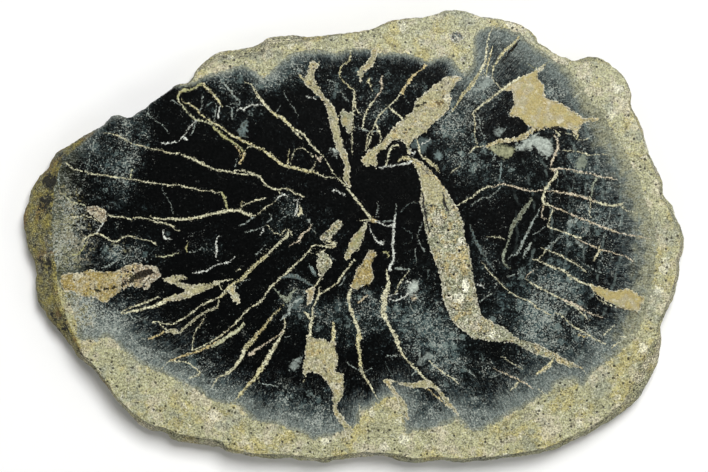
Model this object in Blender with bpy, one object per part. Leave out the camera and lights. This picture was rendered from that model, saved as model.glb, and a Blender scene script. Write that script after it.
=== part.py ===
"""A polished slice of petrified wood: black silicified wood in a sandy rind, sawn flat on both sides."""

import math

import bpy
import bmesh
from mathutils import Vector, noise

# Driving dimensions, in metres.
SLAB_THICKNESS = 0.014
COLUMNS = 288  # columns of faces round the broken edge
RINGS = 12  # rings of points from the polished face down to the underside
GIRTH_LEVEL = 0.56  # how far down the edge is widest, as a share of the thickness
NORMAL_SPAN = 0.006  # length of rim over which its outward direction is averaged

# Form of the broken edge, in metres.
LUMP_SIZE = 0.0085
LUMP_DEPTH = 0.0011
KNOB_SIZE = 0.0042
KNOB_DEPTH = 0.0007
LEDGE_HEIGHT = 0.0042
LEDGE_DEPTH = 0.0007
LEDGE_WANDER = 0.0030
UNDERCUT = 0.0016  # how far the underside's edge is set in from the widest line
UNDERCUT_VARIATION = 0.0012
UNDERCUT_SHARE = 0.22  # extra undercut for each unit of shoulder
GIRTH_ROUGHNESS = 0.15  # share of the roughness that is kept on the widest line
LIP_REACH = 0.15  # least reach beyond the polished face's edge, as a share of the smooth edge's reach

MILLIMETRE = 0.001

# The widest line of the slice, seen from above, clockwise from the left end: x, y and
# how far the polished face's edge is set in from that line, all in millimetres.
RIM = (
    (-99.0, 5.0, 8.3), (-98.5, 8.0, 8.2), (-97.2, 11.2, 7.2), (-96.3, 15.2, 7.0),
    (-94.3, 18.6, 5.6), (-92.0, 20.3, 4.0), (-90.5, 23.3, 3.0), (-89.0, 25.3, 2.6),
    (-86.0, 27.7, 2.4), (-84.0, 28.4, 2.0), (-81.0, 30.4, 1.8), (-78.0, 32.0, 1.5),
    (-75.0, 33.5, 1.2), (-72.8, 36.0, 1.4), (-70.0, 36.0, 1.0), (-67.5, 35.8, 0.7),
    (-64.0, 37.5, 0.7), (-61.5, 39.3, 0.7), (-60.0, 41.1, 0.9), (-58.0, 42.0, 0.8),
    (-54.5, 44.4, 0.9), (-53.5, 45.9, 1.4), (-50.0, 46.1, 1.3), (-48.3, 47.8, 1.2),
    (-47.6, 49.7, 1.4), (-44.0, 52.7, 2.0), (-41.0, 55.4, 3.0), (-38.0, 55.9, 3.3),
    (-33.0, 56.7, 3.6), (-29.5, 57.4, 3.7), (-27.5, 58.4, 3.8), (-25.5, 59.8, 4.0),
    (-22.5, 60.5, 3.9), (-19.0, 60.6, 3.4), (-14.0, 60.2, 2.3), (-8.5, 60.4, 1.4),
    (-4.5, 61.2, 1.2), (2.3, 61.8, 1.1), (6.5, 63.0, 1.0), (9.5, 63.8, 0.9),
    (11.7, 64.9, 0.9), (15.8, 65.4, 0.8), (20.0, 66.0, 0.8), (24.0, 66.6, 0.8),
    (26.8, 67.7, 0.8), (30.7, 68.3, 0.8), (34.5, 67.6, 0.9), (38.3, 66.2, 0.9),
    (42.5, 65.5, 0.8), (46.5, 64.8, 0.9), (50.5, 63.6, 1.0), (53.2, 61.9, 1.3),
    (54.6, 60.2, 1.5), (55.5, 58.1, 1.4), (57.0, 57.3, 1.0), (59.0, 56.3, 0.9),
    (60.6, 54.9, 0.9), (62.8, 54.3, 1.0), (65.2, 53.0, 1.0), (67.5, 53.2, 1.3),
    (70.5, 53.7, 1.6), (74.2, 53.5, 1.4), (78.2, 51.2, 1.2), (81.2, 47.9, 1.2),
    (83.1, 43.9, 1.2), (82.6, 40.4, 1.1), (84.3, 36.9, 1.3), (87.0, 31.2, 1.6),
    (88.4, 25.8, 1.7), (90.5, 21.5, 1.8), (92.4, 17.2, 1.9), (92.8, 13.2, 2.0),
    (95.4, 9.6, 2.2), (96.3, 6.4, 2.0), (98.2, 2.6, 1.8), (99.0, -2.0, 1.8),
    (98.4, -4.4, 1.8), (97.1, -7.0, 1.7), (97.8, -10.6, 1.9), (96.3, -15.8, 2.0),
    (94.8, -20.5, 2.0), (92.2, -25.2, 1.8), (91.7, -27.6, 1.7), (92.3, -29.6, 2.8),
    (92.0, -33.0, 4.4), (90.9, -38.1, 5.6), (88.9, -42.4, 5.9), (86.0, -47.3, 5.2),
    (82.3, -51.2, 3.6), (78.5, -53.4, 2.8), (75.0, -55.7, 2.4), (70.0, -58.4, 2.2),
    (64.4, -61.2, 2.2), (60.4, -63.0, 2.1), (55.4, -64.4, 2.0), (49.1, -65.3, 2.0),
    (42.3, -66.2, 2.0), (35.6, -66.7, 2.0), (29.9, -66.8, 1.8), (27.4, -66.0, 1.5),
    (23.5, -66.4, 1.9), (19.4, -67.0, 2.1), (15.8, -66.7, 2.1), (11.8, -65.6, 2.1),
    (3.6, -65.0, 2.0), (-3.2, -65.8, 2.0), (-9.0, -66.8, 2.0), (-14.0, -66.4, 1.9),
    (-19.0, -65.6, 1.8), (-25.0, -65.5, 1.8), (-31.0, -65.0, 1.9), (-37.4, -64.2, 2.1),
    (-39.2, -63.3, 2.4), (-40.3, -62.3, 2.7), (-47.0, -61.5, 3.0), (-53.0, -60.3, 2.9),
    (-55.1, -59.4, 2.7), (-55.9, -58.0, 2.0), (-61.0, -56.9, 2.2), (-64.8, -55.1, 2.6),
    (-68.2, -51.6, 2.0), (-71.0, -48.5, 1.6), (-72.2, -46.2, 1.3), (-76.5, -40.6, 1.4),
    (-79.0, -38.4, 1.9), (-81.5, -36.6, 2.4), (-83.6, -34.0, 2.6), (-86.2, -30.2, 3.0),
    (-89.2, -26.4, 4.2), (-92.0, -22.8, 5.6), (-94.2, -19.0, 6.2), (-95.2, -14.8, 6.4),
    (-94.9, -10.8, 5.9), (-95.9, -6.2, 6.2), (-97.4, -2.8, 7.3), (-98.4, 0.6, 8.0),
)

# Hollows broken into the edge: centre, radius and depth in millimetres.
HOLLOWS = (
    ((-94.2, 9.6, 9.4), 3.6, 1.9),
    ((-92.6, 15.6, 10.4), 2.6, 1.4),
    ((-94.6, -2.5, 8.4), 3.0, 1.0),
    ((-93.0, -15.5, 9.0), 3.2, 0.9),
    ((-85.6, 27.2, 9.0), 2.4, 0.9),
    ((-29.2, 56.3, 9.6), 2.6, 1.3),
    ((-23.4, 58.8, 8.0), 2.8, 1.1),
    ((-13.8, 59.6, 8.8), 2.2, 0.9),
    ((67.2, 52.6, 8.6), 2.6, 1.2),
    ((89.6, -35.4, 9.2), 3.0, 1.1),
    ((86.4, -44.6, 8.0), 3.0, 0.9),
    ((46.0, -65.2, 5.6), 3.4, 0.9),
    ((7.4, -64.6, 7.2), 3.2, 1.1),
    ((-31.6, -64.2, 8.0), 3.0, 0.9),
    ((-47.8, -60.4, 8.6), 3.4, 1.2),
    ((-62.4, -55.4, 8.8), 3.0, 1.2),
)


def rim_curve(rim, count):
    """Points evenly spaced along a smooth closed curve through the rim, each with its shoulder."""
    steps = 12
    dense = []
    for i in range(len(rim)):
        before, start, end, after = (Vector(rim[(i + k) % len(rim)]) for k in (-1, 0, 1, 2))
        for step in range(steps):
            t = step / steps
            dense.append(
                0.5
                * (
                    2 * start
                    + (end - before) * t
                    + (2 * before - 5 * start + 4 * end - after) * t**2
                    + (3 * start - before - 3 * end + after) * t**3
                )
            )
    lengths = [0.0]
    for i, point in enumerate(dense):
        following = dense[(i + 1) % len(dense)]
        lengths.append(lengths[-1] + (following.xy - point.xy).length)
    points = []
    segment = 0
    for k in range(count):
        target = lengths[-1] * k / count
        while lengths[segment + 1] < target:
            segment += 1
        share = (target - lengths[segment]) / (lengths[segment + 1] - lengths[segment])
        points.append(dense[segment].lerp(dense[(segment + 1) % len(dense)], share))
    return points, lengths[-1]


def outward_directions(points, spacing):
    """The rim's outward direction at each point, averaged along it so that a notch does not turn it."""
    reach = max(1, round(NORMAL_SPAN / spacing))
    count = len(points)
    directions = []
    for i in range(count):
        along = Vector((0.0, 0.0))
        for k in range(1, reach + 1):
            along += (points[(i + k) % count].xy - points[(i - k) % count].xy).normalized()
        directions.append(Vector((-along.y, along.x)).normalized())
    return directions


def smooth(low, high, value):
    t = min(max((value - low) / (high - low), 0.0), 1.0)
    return t * t * (3 - 2 * t)


def roughness(place):
    """How far the broken stone is set back at a place on the edge: lumps, knobs, ledges and hollows."""
    lumps = 0.5 + 0.5 * noise.noise(place / LUMP_SIZE)
    nearest = noise.voronoi(place / KNOB_SIZE)[0][0]
    knobs = min(nearest, 1.0)
    wander = LEDGE_WANDER * noise.noise(Vector((place.x, place.y, 0.0)) / (2 * LUMP_SIZE))
    level = ((place.z + wander) / LEDGE_HEIGHT) % 1.0
    ledge = smooth(0.15, 0.75, level) * (1 - smooth(0.9, 1.0, level))
    depth = LUMP_DEPTH * lumps + KNOB_DEPTH * knobs + LEDGE_DEPTH * ledge
    for centre, radius, hollow in HOLLOWS:
        away = (place - Vector(centre) * MILLIMETRE).length / (radius * MILLIMETRE)
        depth += hollow * MILLIMETRE * (1 - smooth(0.2, 1.0, away))
    return depth


def ring(points, outward, share):
    """One ring of the edge, at a share of the way down from the polished face to the underside."""
    height = SLAB_THICKNESS * (1 - share)
    places = []
    for point, direction in zip(points, outward):
        shoulder = point.z
        if share <= GIRTH_LEVEL:
            swing = math.sin(0.5 * math.pi * share / GIRTH_LEVEL)
            inset = shoulder * (1 - swing)
            kept = 1 - (1 - GIRTH_ROUGHNESS) * swing**4
        else:
            fall = (share - GIRTH_LEVEL) / (1 - GIRTH_LEVEL)
            vary = UNDERCUT_VARIATION * noise.noise(Vector((point.x, point.y, 0.3)) / (2 * LUMP_SIZE))
            deepest = UNDERCUT + UNDERCUT_SHARE * shoulder + vary
            inset = deepest * (1 - math.cos(0.5 * math.pi * fall))
            kept = GIRTH_ROUGHNESS + (1 - GIRTH_ROUGHNESS) * smooth(0.0, 0.5, fall)
        edge_fade = smooth(0.0, 0.14, share) * smooth(1.0, 0.9, share)
        smooth_place = point.xy - direction * inset
        set_back = kept * edge_fade * roughness(Vector((*smooth_place, height)))
        if share <= GIRTH_LEVEL:
            set_back = min(set_back, (1 - LIP_REACH) * (shoulder - inset))
        places.append(Vector((*(smooth_place - direction * set_back), height)))
    return places


def slice_mesh():
    """The closed shell: stacked rings of the broken edge, capped by the polished face and the underside."""
    rim = [Vector(entry) * MILLIMETRE for entry in RIM]
    points, length = rim_curve(rim, COLUMNS)
    outward = outward_directions(points, length / COLUMNS)
    shell = bmesh.new()
    rings = []
    for row in range(RINGS):
        # Rings crowd towards the two faces, where the edge turns over quickly.
        share = 0.5 - 0.5 * math.cos(math.pi * row / (RINGS - 1))
        share = 0.45 * share + 0.55 * row / (RINGS - 1)
        rings.append([shell.verts.new(place) for place in ring(points, outward, share)])
    for upper, lower in zip(rings, rings[1:]):
        for i in range(COLUMNS):
            after = (i + 1) % COLUMNS
            shell.faces.new((upper[i], upper[after], lower[after], lower[i]))
    for border in (rings[0], rings[-1]):
        edges = [shell.edges.get((border[i], border[(i + 1) % COLUMNS])) for i in range(COLUMNS)]
        bmesh.ops.triangle_fill(shell, use_beauty=True, use_dissolve=False, edges=edges)
    bmesh.ops.recalc_face_normals(shell, faces=shell.faces)
    middle_x = 0.5 * (min(v.co.x for v in shell.verts) + max(v.co.x for v in shell.verts))
    middle_y = 0.5 * (min(v.co.y for v in shell.verts) + max(v.co.y for v in shell.verts))
    bmesh.ops.translate(shell, vec=(-middle_x, -middle_y, 0.0), verts=shell.verts)
    return shell


def stone_material():
    material = bpy.data.materials.new("polished_petrified_wood")
    material.use_nodes = True
    shader = material.node_tree.nodes["Principled BSDF"]
    shader.inputs["Base Color"].default_value = (0.045, 0.050, 0.048, 1.0)
    shader.inputs["Roughness"].default_value = 0.18
    shader.inputs["Metallic"].default_value = 0.0
    return material


def main():
    for old in list(bpy.data.objects):
        bpy.data.objects.remove(old)
    collection = bpy.data.collections.new("petrified_wood_slice")
    bpy.context.scene.collection.children.link(collection)
    shell = slice_mesh()
    mesh = bpy.data.meshes.new("petrified_wood_slice")
    shell.to_mesh(mesh)
    shell.free()
    mesh.materials.append(stone_material())
    mesh.shade_smooth()
    mesh.set_sharp_from_angle(angle=math.radians(40))
    slab = bpy.data.objects.new("petrified_wood_slice", mesh)
    collection.objects.link(slab)


main()
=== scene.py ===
import bmesh
import bpy
import numpy as np
from mathutils import Matrix, Vector, noise


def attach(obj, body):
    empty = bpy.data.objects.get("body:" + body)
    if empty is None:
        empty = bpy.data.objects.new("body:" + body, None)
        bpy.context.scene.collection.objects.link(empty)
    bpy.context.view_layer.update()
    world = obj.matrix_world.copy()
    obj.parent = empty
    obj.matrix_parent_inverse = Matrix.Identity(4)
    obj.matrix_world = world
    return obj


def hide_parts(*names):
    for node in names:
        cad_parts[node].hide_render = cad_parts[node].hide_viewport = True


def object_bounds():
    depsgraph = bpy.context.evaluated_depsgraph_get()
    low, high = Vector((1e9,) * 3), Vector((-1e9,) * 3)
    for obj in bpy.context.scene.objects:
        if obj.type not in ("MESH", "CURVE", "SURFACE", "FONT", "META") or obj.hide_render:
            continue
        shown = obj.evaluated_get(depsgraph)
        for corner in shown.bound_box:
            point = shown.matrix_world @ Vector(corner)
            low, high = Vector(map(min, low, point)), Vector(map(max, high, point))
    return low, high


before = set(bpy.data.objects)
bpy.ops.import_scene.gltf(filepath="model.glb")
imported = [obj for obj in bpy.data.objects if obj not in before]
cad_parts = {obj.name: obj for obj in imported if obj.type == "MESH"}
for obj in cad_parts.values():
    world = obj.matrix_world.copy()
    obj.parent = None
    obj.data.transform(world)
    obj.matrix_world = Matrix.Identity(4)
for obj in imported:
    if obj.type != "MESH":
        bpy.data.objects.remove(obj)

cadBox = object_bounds()
mm = .001

# the colour of each mineral, as red, green and blue out of 255, and dark, which paints shade in open gaps and
# holes
tones = {
    'cream': (200, 198, 166), 'tan': (184, 178, 134), 'sand': (150, 153, 124), 'ochre': (180, 164, 116),
    'pink': (190, 178, 154), 'white': (206, 210, 200), 'ash': (142, 152, 145), 'dim': (86, 99, 97),
    'mist': (116, 132, 129), 'olive': (162, 162, 114), 'greenCream': (178, 180, 146),
    'ashOlive': (136, 144, 126), 'rust': (92, 78, 54), 'dark': (12, 11, 10), 'blueWhite': (184, 193, 182),
    'yellow': (194, 178, 116), 'orange': (172, 152, 90), 'rubble': (160, 144, 118), 'grey': (108, 114, 106),
    'greenTan': (160, 162, 128)}

# seams of mineral that fill the cracks in the wood, and dark lines of painted shade along open gaps: tone,
# widths spread along the seam, and its route in millimetres; a fourth value is how dark the middle of a double
# seam is
seams = {
    'left': [
        ('cream', (.45, .55), ((-74.4, 31.7), (-72.2, 31.4), (-70, 30.6), (-68.2, 29.5), (-66.4, 28.4),
            (-64.2, 28), (-62, 27.3), (-60.4, 26.8), (-58, 26.6), (-56.2, 25.8), (-54.8, 25.5),
            (-52.9, 25.7), (-51, 25), (-49.6, 24.3))),
        ('cream', (.7, .9, .6, .5), ((-49.6, 24.3), (-47.8, 23.7), (-45.6, 22.6), (-43, 21.5),
            (-41.2, 20.6), (-39, 20.3), (-36.5, 19.9))),
        ('cream', (.5, .55), ((-36.5, 19.9), (-35, 20.5), (-32.5, 20.2), (-30, 19.5), (-28.1, 18.8))),
        ('cream', (.5, .5, .4), ((-36.2, 19.8), (-33.2, 19.4), (-30.3, 19.1), (-28.1, 18.4), (-27.4, 17.5),
            (-26.3, 16.1), (-24.9, 15.2), (-22.7, 14.6), (-21.2, 15), (-19.4, 14.8), (-18, 13.7),
            (-16.5, 13.2), (-15.2, 12.6))),
        ('cream', (.35,), ((-22.7, 14.4), (-22.1, 13.5))),
        ('cream', (.45, .5, .45, .5, .4), ((-86.4, 23), (-84.6, 21), (-83.5, 20.6), (-81, 20.1),
            (-79.1, 19.5), (-77.3, 19.2), (-75.1, 19.1), (-72.6, 18.6), (-69.7, 18.3), (-67.1, 17.9),
            (-65, 17.5), (-62.4, 17), (-58.8, 16.5), (-55, 15.9), (-52.9, 16.1), (-50.7, 15.5), (-48.5, 15),
            (-45.2, 14.3), (-41.9, 14.3))),
        ('cream', (.3, .4), ((-41.9, 14.3), (-40.7, 13.5), (-40, 14.1))),
        ('olive', (.4, 1, .8, .6), ((-40, 14.1), (-39.2, 13), (-38.5, 11.7), (-38.2, 9.9), (-37.6, 8.6))),
        ('greenCream', (.5,), ((-66.8, 18.1), (-66.8, 19.7), (-66.4, 20.8))),
        ('ash', (.35, .35, .2), ((-77.1, 30.3), (-78, 28.1), (-79.1, 25.2), (-79.5, 22.6), (-79.9, 20.4),
            (-80.6, 18.3), (-81.1, 15.7))),
        ('ash', (.35,), ((-86.2, 24.8), (-87.9, 23.4), (-88.4, 21.2), (-88.4, 16))),
        ('ash', (.3,), ((-62.4, 38.4), (-61.3, 37.2), (-59.9, 35.7), (-57.7, 34.3), (-56.4, 32.9),
            (-55.5, 31.7))),
        ('white', (.5, .4, .45), ((-57.5, 28.4), (-55.9, 28.6), (-54, 28.8), (-52.2, 29.5), (-50.9, 31),
            (-49.6, 32.6), (-48.3, 34.4), (-46.9, 35.5))),
        ('white', (1.1, .7), ((-50.6, 30.1), (-50.1, 29.8))),
        ('ash', (.4,), ((-48.6, 31.6), (-48, 32.6), (-47.4, 34.2))),
        ('cream', (.45, .45, .5), ((-73.7, 7), (-71.6, 6.6), (-69.3, 6.4), (-66.6, 5.7))),
        ('cream', (.5, .4, .55, .6), ((-66.2, 6.3), (-63.5, 6.2), (-61, 5.7), (-59.1, 5), (-57, 4.7),
            (-55.1, 4.1), (-53.7, 3.6))),
        ('cream', (.3, .2), ((-55, 3.8), (-53.3, 2.6), (-52, 2.2))),
        ('cream', (.4,), ((-61.3, 7.2), (-60.7, 6.4), (-59.7, 6))),
        ('cream', (.6, .8, .8, .9, .8), ((-59.7, 6.1), (-57, 5.9), (-54.8, 5.9), (-51.8, 5.8), (-48.5, 6),
            (-46, 6.4), (-43.4, 7.2), (-40.5, 7.7), (-38, 8.3), (-35.4, 8.5), (-34, 8.4))),
        ('cream', (.8, .9, .8, .4), ((-34, 8.3), (-33, 7.7), (-31.8, 7.2), (-30, 6.9), (-29.1, 7.1))),
        ('ash', (.25,), ((-57.5, 16.2), (-57.2, 14.1), (-55.9, 12.1), (-54.8, 10.3), (-54.2, 7.4))),
        ('greenCream', (.3, .45, .5), ((-86.6, 12.9), (-85, 11.3), (-82.9, 10.5), (-80.2, 9.8))),
        ('cream', (.4,), ((-84.2, 6.2), (-82.4, 6.7), (-80.6, 6.8), (-78.8, 6.3), (-77, 5.5),
            (-75.2, 4.8))),
        ('white', (.6, .5), ((-75, 4.7), (-75.9, 3.7), (-76.5, 2.4), (-77.2, 1.7))),
        ('cream', (.5, .6, .5, .5), ((-81.3, -1), (-80.2, .4), (-78.8, 1.1), (-76.6, 1.4), (-75.1, .9),
            (-73.9, 0), (-72.6, -.6), (-71.2, -1.1), (-70.2, -.4), (-69, .5), (-67.4, .7), (-65.5, .4))),
        ('cream', (.3, .4, .6), ((-65.8, .2), (-63, -.3), (-60.8, -.8), (-59.3, -1.7))),
        ('olive', (.4, .7, .5), ((-84.5, -5), (-82.8, -4.7), (-81.2, -3.1), (-80, -.9))),
        ('ash', (.45, .5), ((-75.5, -8.8), (-73.8, -8.1), (-72.2, -7.5), (-70.4, -6.3), (-68.2, -5.6),
            (-67.8, -4.3))),
        ('greenCream', (.4, .6, .4), ((-59.3, -5.2), (-57.2, -5.6), (-54.8, -5), (-52.6, -4.4))),
        ('white', (.5, .7, .5), ((-57, 2.5), (-57.1, 1.2), (-56.5, 0), (-55, -.2))),
        ('olive', (.3, .6, .5), ((-49.7, -1.1), (-49.9, -2.2), (-50.3, -3), (-49.9, -3.7))),
        ('ash', (.35, .3), ((-49.2, -4.2), (-47.3, -3.9), (-45.3, -2.8)))],
    'lowerLeft': [
        ('cream', (.5, .6, .5), ((-69.8, -22.4), (-67.9, -21.1), (-65.4, -20.2), (-62.8, -19.3),
            (-60.6, -18.4), (-58.4, -17.5))),
        ('ash', (.35,), ((-72.5, -22.3), (-70.8, -22), (-69.8, -22.2))),
        ('cream', (.6, .8, 1, 1.2), ((-69.4, -22.5), (-66.8, -21.9), (-64.7, -21.6), (-62.5, -20.8),
            (-60.3, -20.4), (-58.5, -19.7), (-56.5, -18.9))),
        ('ash', (.45,), ((-67.2, -22.1), (-66.8, -23.4), (-65.4, -24.3))),
        ('ash', (.3,), ((-65.2, -23.2), (-64, -24), (-62.8, -24.2), (-61.6, -23.6))),
        ('cream', (.4, .5, .5, .6), ((-60.3, -25.3), (-58.9, -25), (-57.8, -25.2), (-56.3, -25.7),
            (-54.7, -25.8), (-53, -25), (-50.5, -23.6), (-48.4, -22.1), (-46.2, -20.4), (-43.4, -18.9),
            (-41, -18), (-39.4, -16.9), (-38, -15.2))),
        ('cream', (.45,), ((-58.2, -25.4), (-57.4, -26.7), (-56.2, -27.2))),
        ('ochre', (.4, .6, .8), ((-62.4, -30.3), (-60.3, -29.8), (-58.5, -29), (-57, -28.2))),
        ('ash', (.35,), ((-64.4, -28.9), (-63.2, -29.8), (-62.1, -30.6))),
        ('cream', (.6, .8, .7, .6, .5), ((-52.4, -28.4), (-51, -27), (-49.2, -25.6), (-47.2, -23.9),
            (-45, -22.4), (-43, -21.4), (-41.2, -20.8), (-40.6, -19.4), (-40.4, -18)), .7),
        ('cream', (.3, .45, .35, .5), ((-44.2, -22.3), (-45, -24.2), (-46.1, -26.1), (-47.6, -28.2),
            (-48.1, -30.5), (-48.4, -33.4))),
        ('ochre', (.6, .8, .8, .7), ((-55.2, -36.8), (-53.4, -36.1), (-51.2, -35.2), (-49.2, -34.6),
            (-46.9, -33.9), (-44.6, -32.9), (-42.2, -31.8), (-40.2, -30.6))),
        ('cream', (.45, .5, .5, .45), ((-48.3, -33.4), (-46, -32.6), (-43.2, -31.3), (-40.7, -29.8),
            (-38.3, -27.9), (-36, -25.9), (-34, -23.8), (-32, -21.6), (-30.4, -20.3), (-28.6, -19.6),
            (-27, -18))),
        ('greenCream', (.8, 1.2, 1.2, 1), ((-42.5, -32.4), (-40.5, -31.3), (-38.3, -29.8), (-36.2, -28.4),
            (-34.2, -27.2), (-33, -25.8))),
        ('cream', (.35,), ((-55.2, -36.8), (-56.3, -37.6), (-57.6, -39))),
        ('ash', (.25,), ((-60, -38), (-58, -37.6), (-56.6, -37.1))),
        ('cream', (.5, .6, .5, .3), ((-54.6, -36.8), (-52.6, -37.1), (-50.4, -37), (-48.9, -37.9),
            (-47.4, -39), (-46, -40), (-46.3, -40.9), (-47.8, -41.5), (-49.3, -42))),
        ('ash', (.3,), ((-48.3, -38.4), (-49.9, -39.5), (-51.5, -40.2))),
        ('tan', (.3, .45, .6, .8, 1, 1.2, 1.3, 1.4, 1.2), ((-21, -20), (-22.6, -21.5), (-24.2, -23),
            (-25.6, -25), (-27.2, -26.9), (-28.8, -28.7), (-30.3, -30.4), (-31.7, -32.1),
            (-32.8, -33.8)), .3),
        ('cream', (1.3, 1.1, .9, .8, .6, .5, .3), ((-32.8, -33.8), (-33.6, -35.8), (-35, -37.7),
            (-36.8, -39.8), (-38.8, -40.9), (-40.4, -41.4), (-41.6, -43), (-43, -45))),
        ('pink', (.9, .9, .6, .5, .5, .6), ((-31.4, -34.8), (-30.5, -34.6), (-29.2, -33.3), (-27.2, -32.1),
            (-25, -30.5), (-23, -29.4), (-21.4, -28.2))),
        ('cream', (.7, .5, .4), ((-21.2, -28), (-20.6, -26.5), (-20.6, -25), (-20.9, -24))),
        ('cream', (.6, .9, 1.1, 1.2, 1.5, 1.6), ((-21, -28.2), (-22.3, -30.3), (-23.5, -32.3), (-24.7, -34),
            (-25.5, -35.8), (-26.8, -37.6))),
        ('tan', (1.6, 1.3, 1.2, 1.1, 1, .8, .3), ((-26.8, -37.6), (-28.1, -39.7), (-29.2, -41.5),
            (-30.8, -43.1), (-32.4, -44.9), (-34.1, -46.9), (-35.8, -48.6))),
        ('ash', (.3,), ((-20.2, -29.6), (-19.3, -29.3))),
        ('ash', (.3, .5, .3), ((-28, -43.2), (-25.8, -43.9), (-22.5, -44.5))),
        ('dim', (.3,), ((-27.8, -43.5), (-27.7, -46.5), (-28, -49))),
        ('ash', (.3,), ((-32.5, -50.2), (-30.6, -48.4), (-29.6, -49.8))),
        ('ash', (.35,), ((-7.5, -50), (-7, -53), (-6.3, -55.8)))],
    'upperLeft': [
        ('ash', (.4,), ((-54.6, 41.5), (-53.3, 40.9), (-52.2, 40.1))),
        ('olive', (.6, .9, 1.2, .6, .6, .9), ((-52.8, 41.9), (-52.5, 43), (-51.8, 44.2), (-50, 44.6),
            (-48, 45), (-46.6, 46), (-45.4, 46.4))),
        ('cream', (.4, .5), ((-52.8, 42), (-52.2, 41), (-51.7, 40.3))),
        ('greenCream', (.5, .6, .7, .5, .6), ((-51.5, 40.2), (-50.6, 38.9), (-49.6, 37.5), (-48, 36.2),
            (-46.8, 35.4), (-45.2, 35.3), (-43.6, 34.7), (-42.2, 34))),
        ('tan', (.5, .6, .6, .6, .8), ((-51, 40.9), (-49.4, 40.5), (-48, 39.6), (-46.9, 38.6),
            (-45.9, 37.4), (-44.6, 36.3), (-43.3, 35.4), (-41.8, 34.4))),
        ('tan', (.8, .7, .8, .8, .8, .9), ((-41.8, 34.4), (-40, 33.7), (-38.2, 32.3), (-36.6, 31),
            (-35, 30.2), (-33, 29.2), (-31, 28.3), (-29, 27.4), (-27, 26.5))),
        ('tan', (1, 1.1, .9, .8, .9, .8, .6), ((-27, 26.5), (-25, 25), (-23, 23.5), (-21, 21.9),
            (-19.6, 21.5), (-18, 21.5), (-16, 20.7), (-14.4, 20.3), (-12.6, 20.1), (-11, 19.6))),
        ('cream', (.5, .35, .4, .3), ((-11, 19.6), (-9.4, 18.9), (-8, 18.2), (-7.2, 18.3), (-5.6, 18.1))),
        ('olive', (.8, 1, .9, .6, .5, .7), ((-42, 33.5), (-40.4, 32), (-38.6, 30.4), (-36.8, 29.2),
            (-35.2, 28.3), (-34, 27.3), (-32.9, 26.2))),
        ('ochre', (.7, .7, .6), ((-32.8, 26), (-32.8, 25), (-33.3, 23.9), (-34.1, 22.6))),
        ('ochre', (.4, .45, .3), ((-35.6, 27.8), (-34.6, 26.8), (-34.1, 25.6), (-33.9, 24.2))),
        ('cream', (.4,), ((-32, 27.2), (-31, 27.7), (-29.8, 27.5))),
        ('ash', (.3,), ((-35.2, 23.7), (-35.2, 22.4), (-35.5, 21.3))),
        ('ash', (.3, .35, .3), ((-45.4, 43.6), (-45.4, 41.6), (-45.4, 40.2), (-45.7, 38.9), (-46.4, 37.9))),
        ('mist', (.35,), ((-44, 39.6), (-43, 40.5), (-42, 41))),
        ('tan', (.8, .6, .9, .6, .7), ((-45.2, 46.3), (-44, 45), (-42.9, 43.9), (-41.8, 42.8),
            (-40.7, 41.7), (-39.9, 40.4), (-39.5, 39.7))),
        ('olive', (.3, .2), ((-45.3, 47), (-43.6, 45.4), (-42.2, 43.7), (-40.6, 42))),
        ('ash', (.4, .4, .3), ((-41.1, 39.8), (-41.4, 38.4), (-41.5, 37), (-41.9, 35.5))),
        ('white', (.35, .6, .4), ((-40, 39.8), (-40.4, 38.4), (-40.5, 37.2), (-40.8, 36))),
        ('ash', (.5, .8, .7, .5), ((-39.7, 47.1), (-38.3, 46), (-37.1, 44.5), (-36, 43), (-35, 41.9),
            (-34, 41.4))),
        ('ash', (.4, .35), ((-34.2, 41.2), (-33.9, 40.5), (-34.8, 39.7))),
        ('white', (.5, .6, .5, .5, .3), ((-34.9, 38.6), (-33.7, 38.9), (-32.7, 38.6), (-32, 39.6),
            (-30.6, 40), (-28.6, 40.1), (-27, 39.9))),
        ('ash', (.35, .5, .6), ((-38, 39.8), (-36.7, 39.4), (-36.3, 38.2), (-36.5, 36.8), (-36.2, 35.6))),
        ('ash', (.3,), ((-35.6, 36.8), (-35, 38), (-34.9, 38.6))),
        ('ash', (.3,), ((-37, 40.2), (-35.6, 40.5), (-34.4, 40.3))),
        ('dim', (.6, 1.3, 1, .8, 1.2, .6), ((-32.2, 35), (-33, 34), (-33.9, 32.9), (-34.3, 31.8),
            (-33.5, 31), (-31.9, 30.4))),
        ('cream', (.4, .5, .7, .9, .8, .8), ((-32.5, 46.9), (-30.7, 46.2), (-29.9, 45.1), (-29.1, 43.4),
            (-27.8, 41.7), (-26.4, 40), (-25, 38.3))),
        ('tan', (.8, .9, 1, 1, .8, .6), ((-25, 38.3), (-23.7, 37.3), (-22, 36.5), (-20.7, 35.6),
            (-19.6, 34.3), (-18.2, 33.1), (-16.8, 32.2))),
        ('cream', (.6, .6, .6, .5, .4, .4, .45, .5, .5), ((-16.8, 32.1), (-15.2, 31.5), (-14, 30),
            (-12.7, 28.2), (-11.2, 26.6), (-9.8, 25.4), (-8.5, 24), (-7.6, 22.4), (-6.8, 20.9),
            (-5.6, 19.1), (-4, 17.4), (-2.4, 16), (-1.6, 15.5))),
        ('cream', (.3, .55, .5), ((-18.5, 32.9), (-17.2, 31.7), (-16.2, 30.5), (-15.3, 29.8))),
        ('ash', (.3,), ((-23, 38.3), (-22.4, 38.9), (-22, 39.8))),
        ('ash', (.35, .25, .3), ((-21.2, 44.3), (-20, 42.2), (-18.7, 40.1), (-17.5, 38.4), (-16.4, 36.5))),
        ('white', (.5, .4), ((-14, 42.6), (-13, 42.4), (-11.2, 42))),
        ('tan', (.6, .45, .35), ((-19.6, 21.8), (-19.7, 23.2), (-19.5, 25.2), (-19.1, 26.5))),
        ('cream', (.35, .3, .35), ((-18.8, 22.2), (-18.5, 24.6), (-17.9, 26.2), (-16.6, 27), (-14.9, 27),
            (-13.4, 25.7), (-12, 24.4))),
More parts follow.
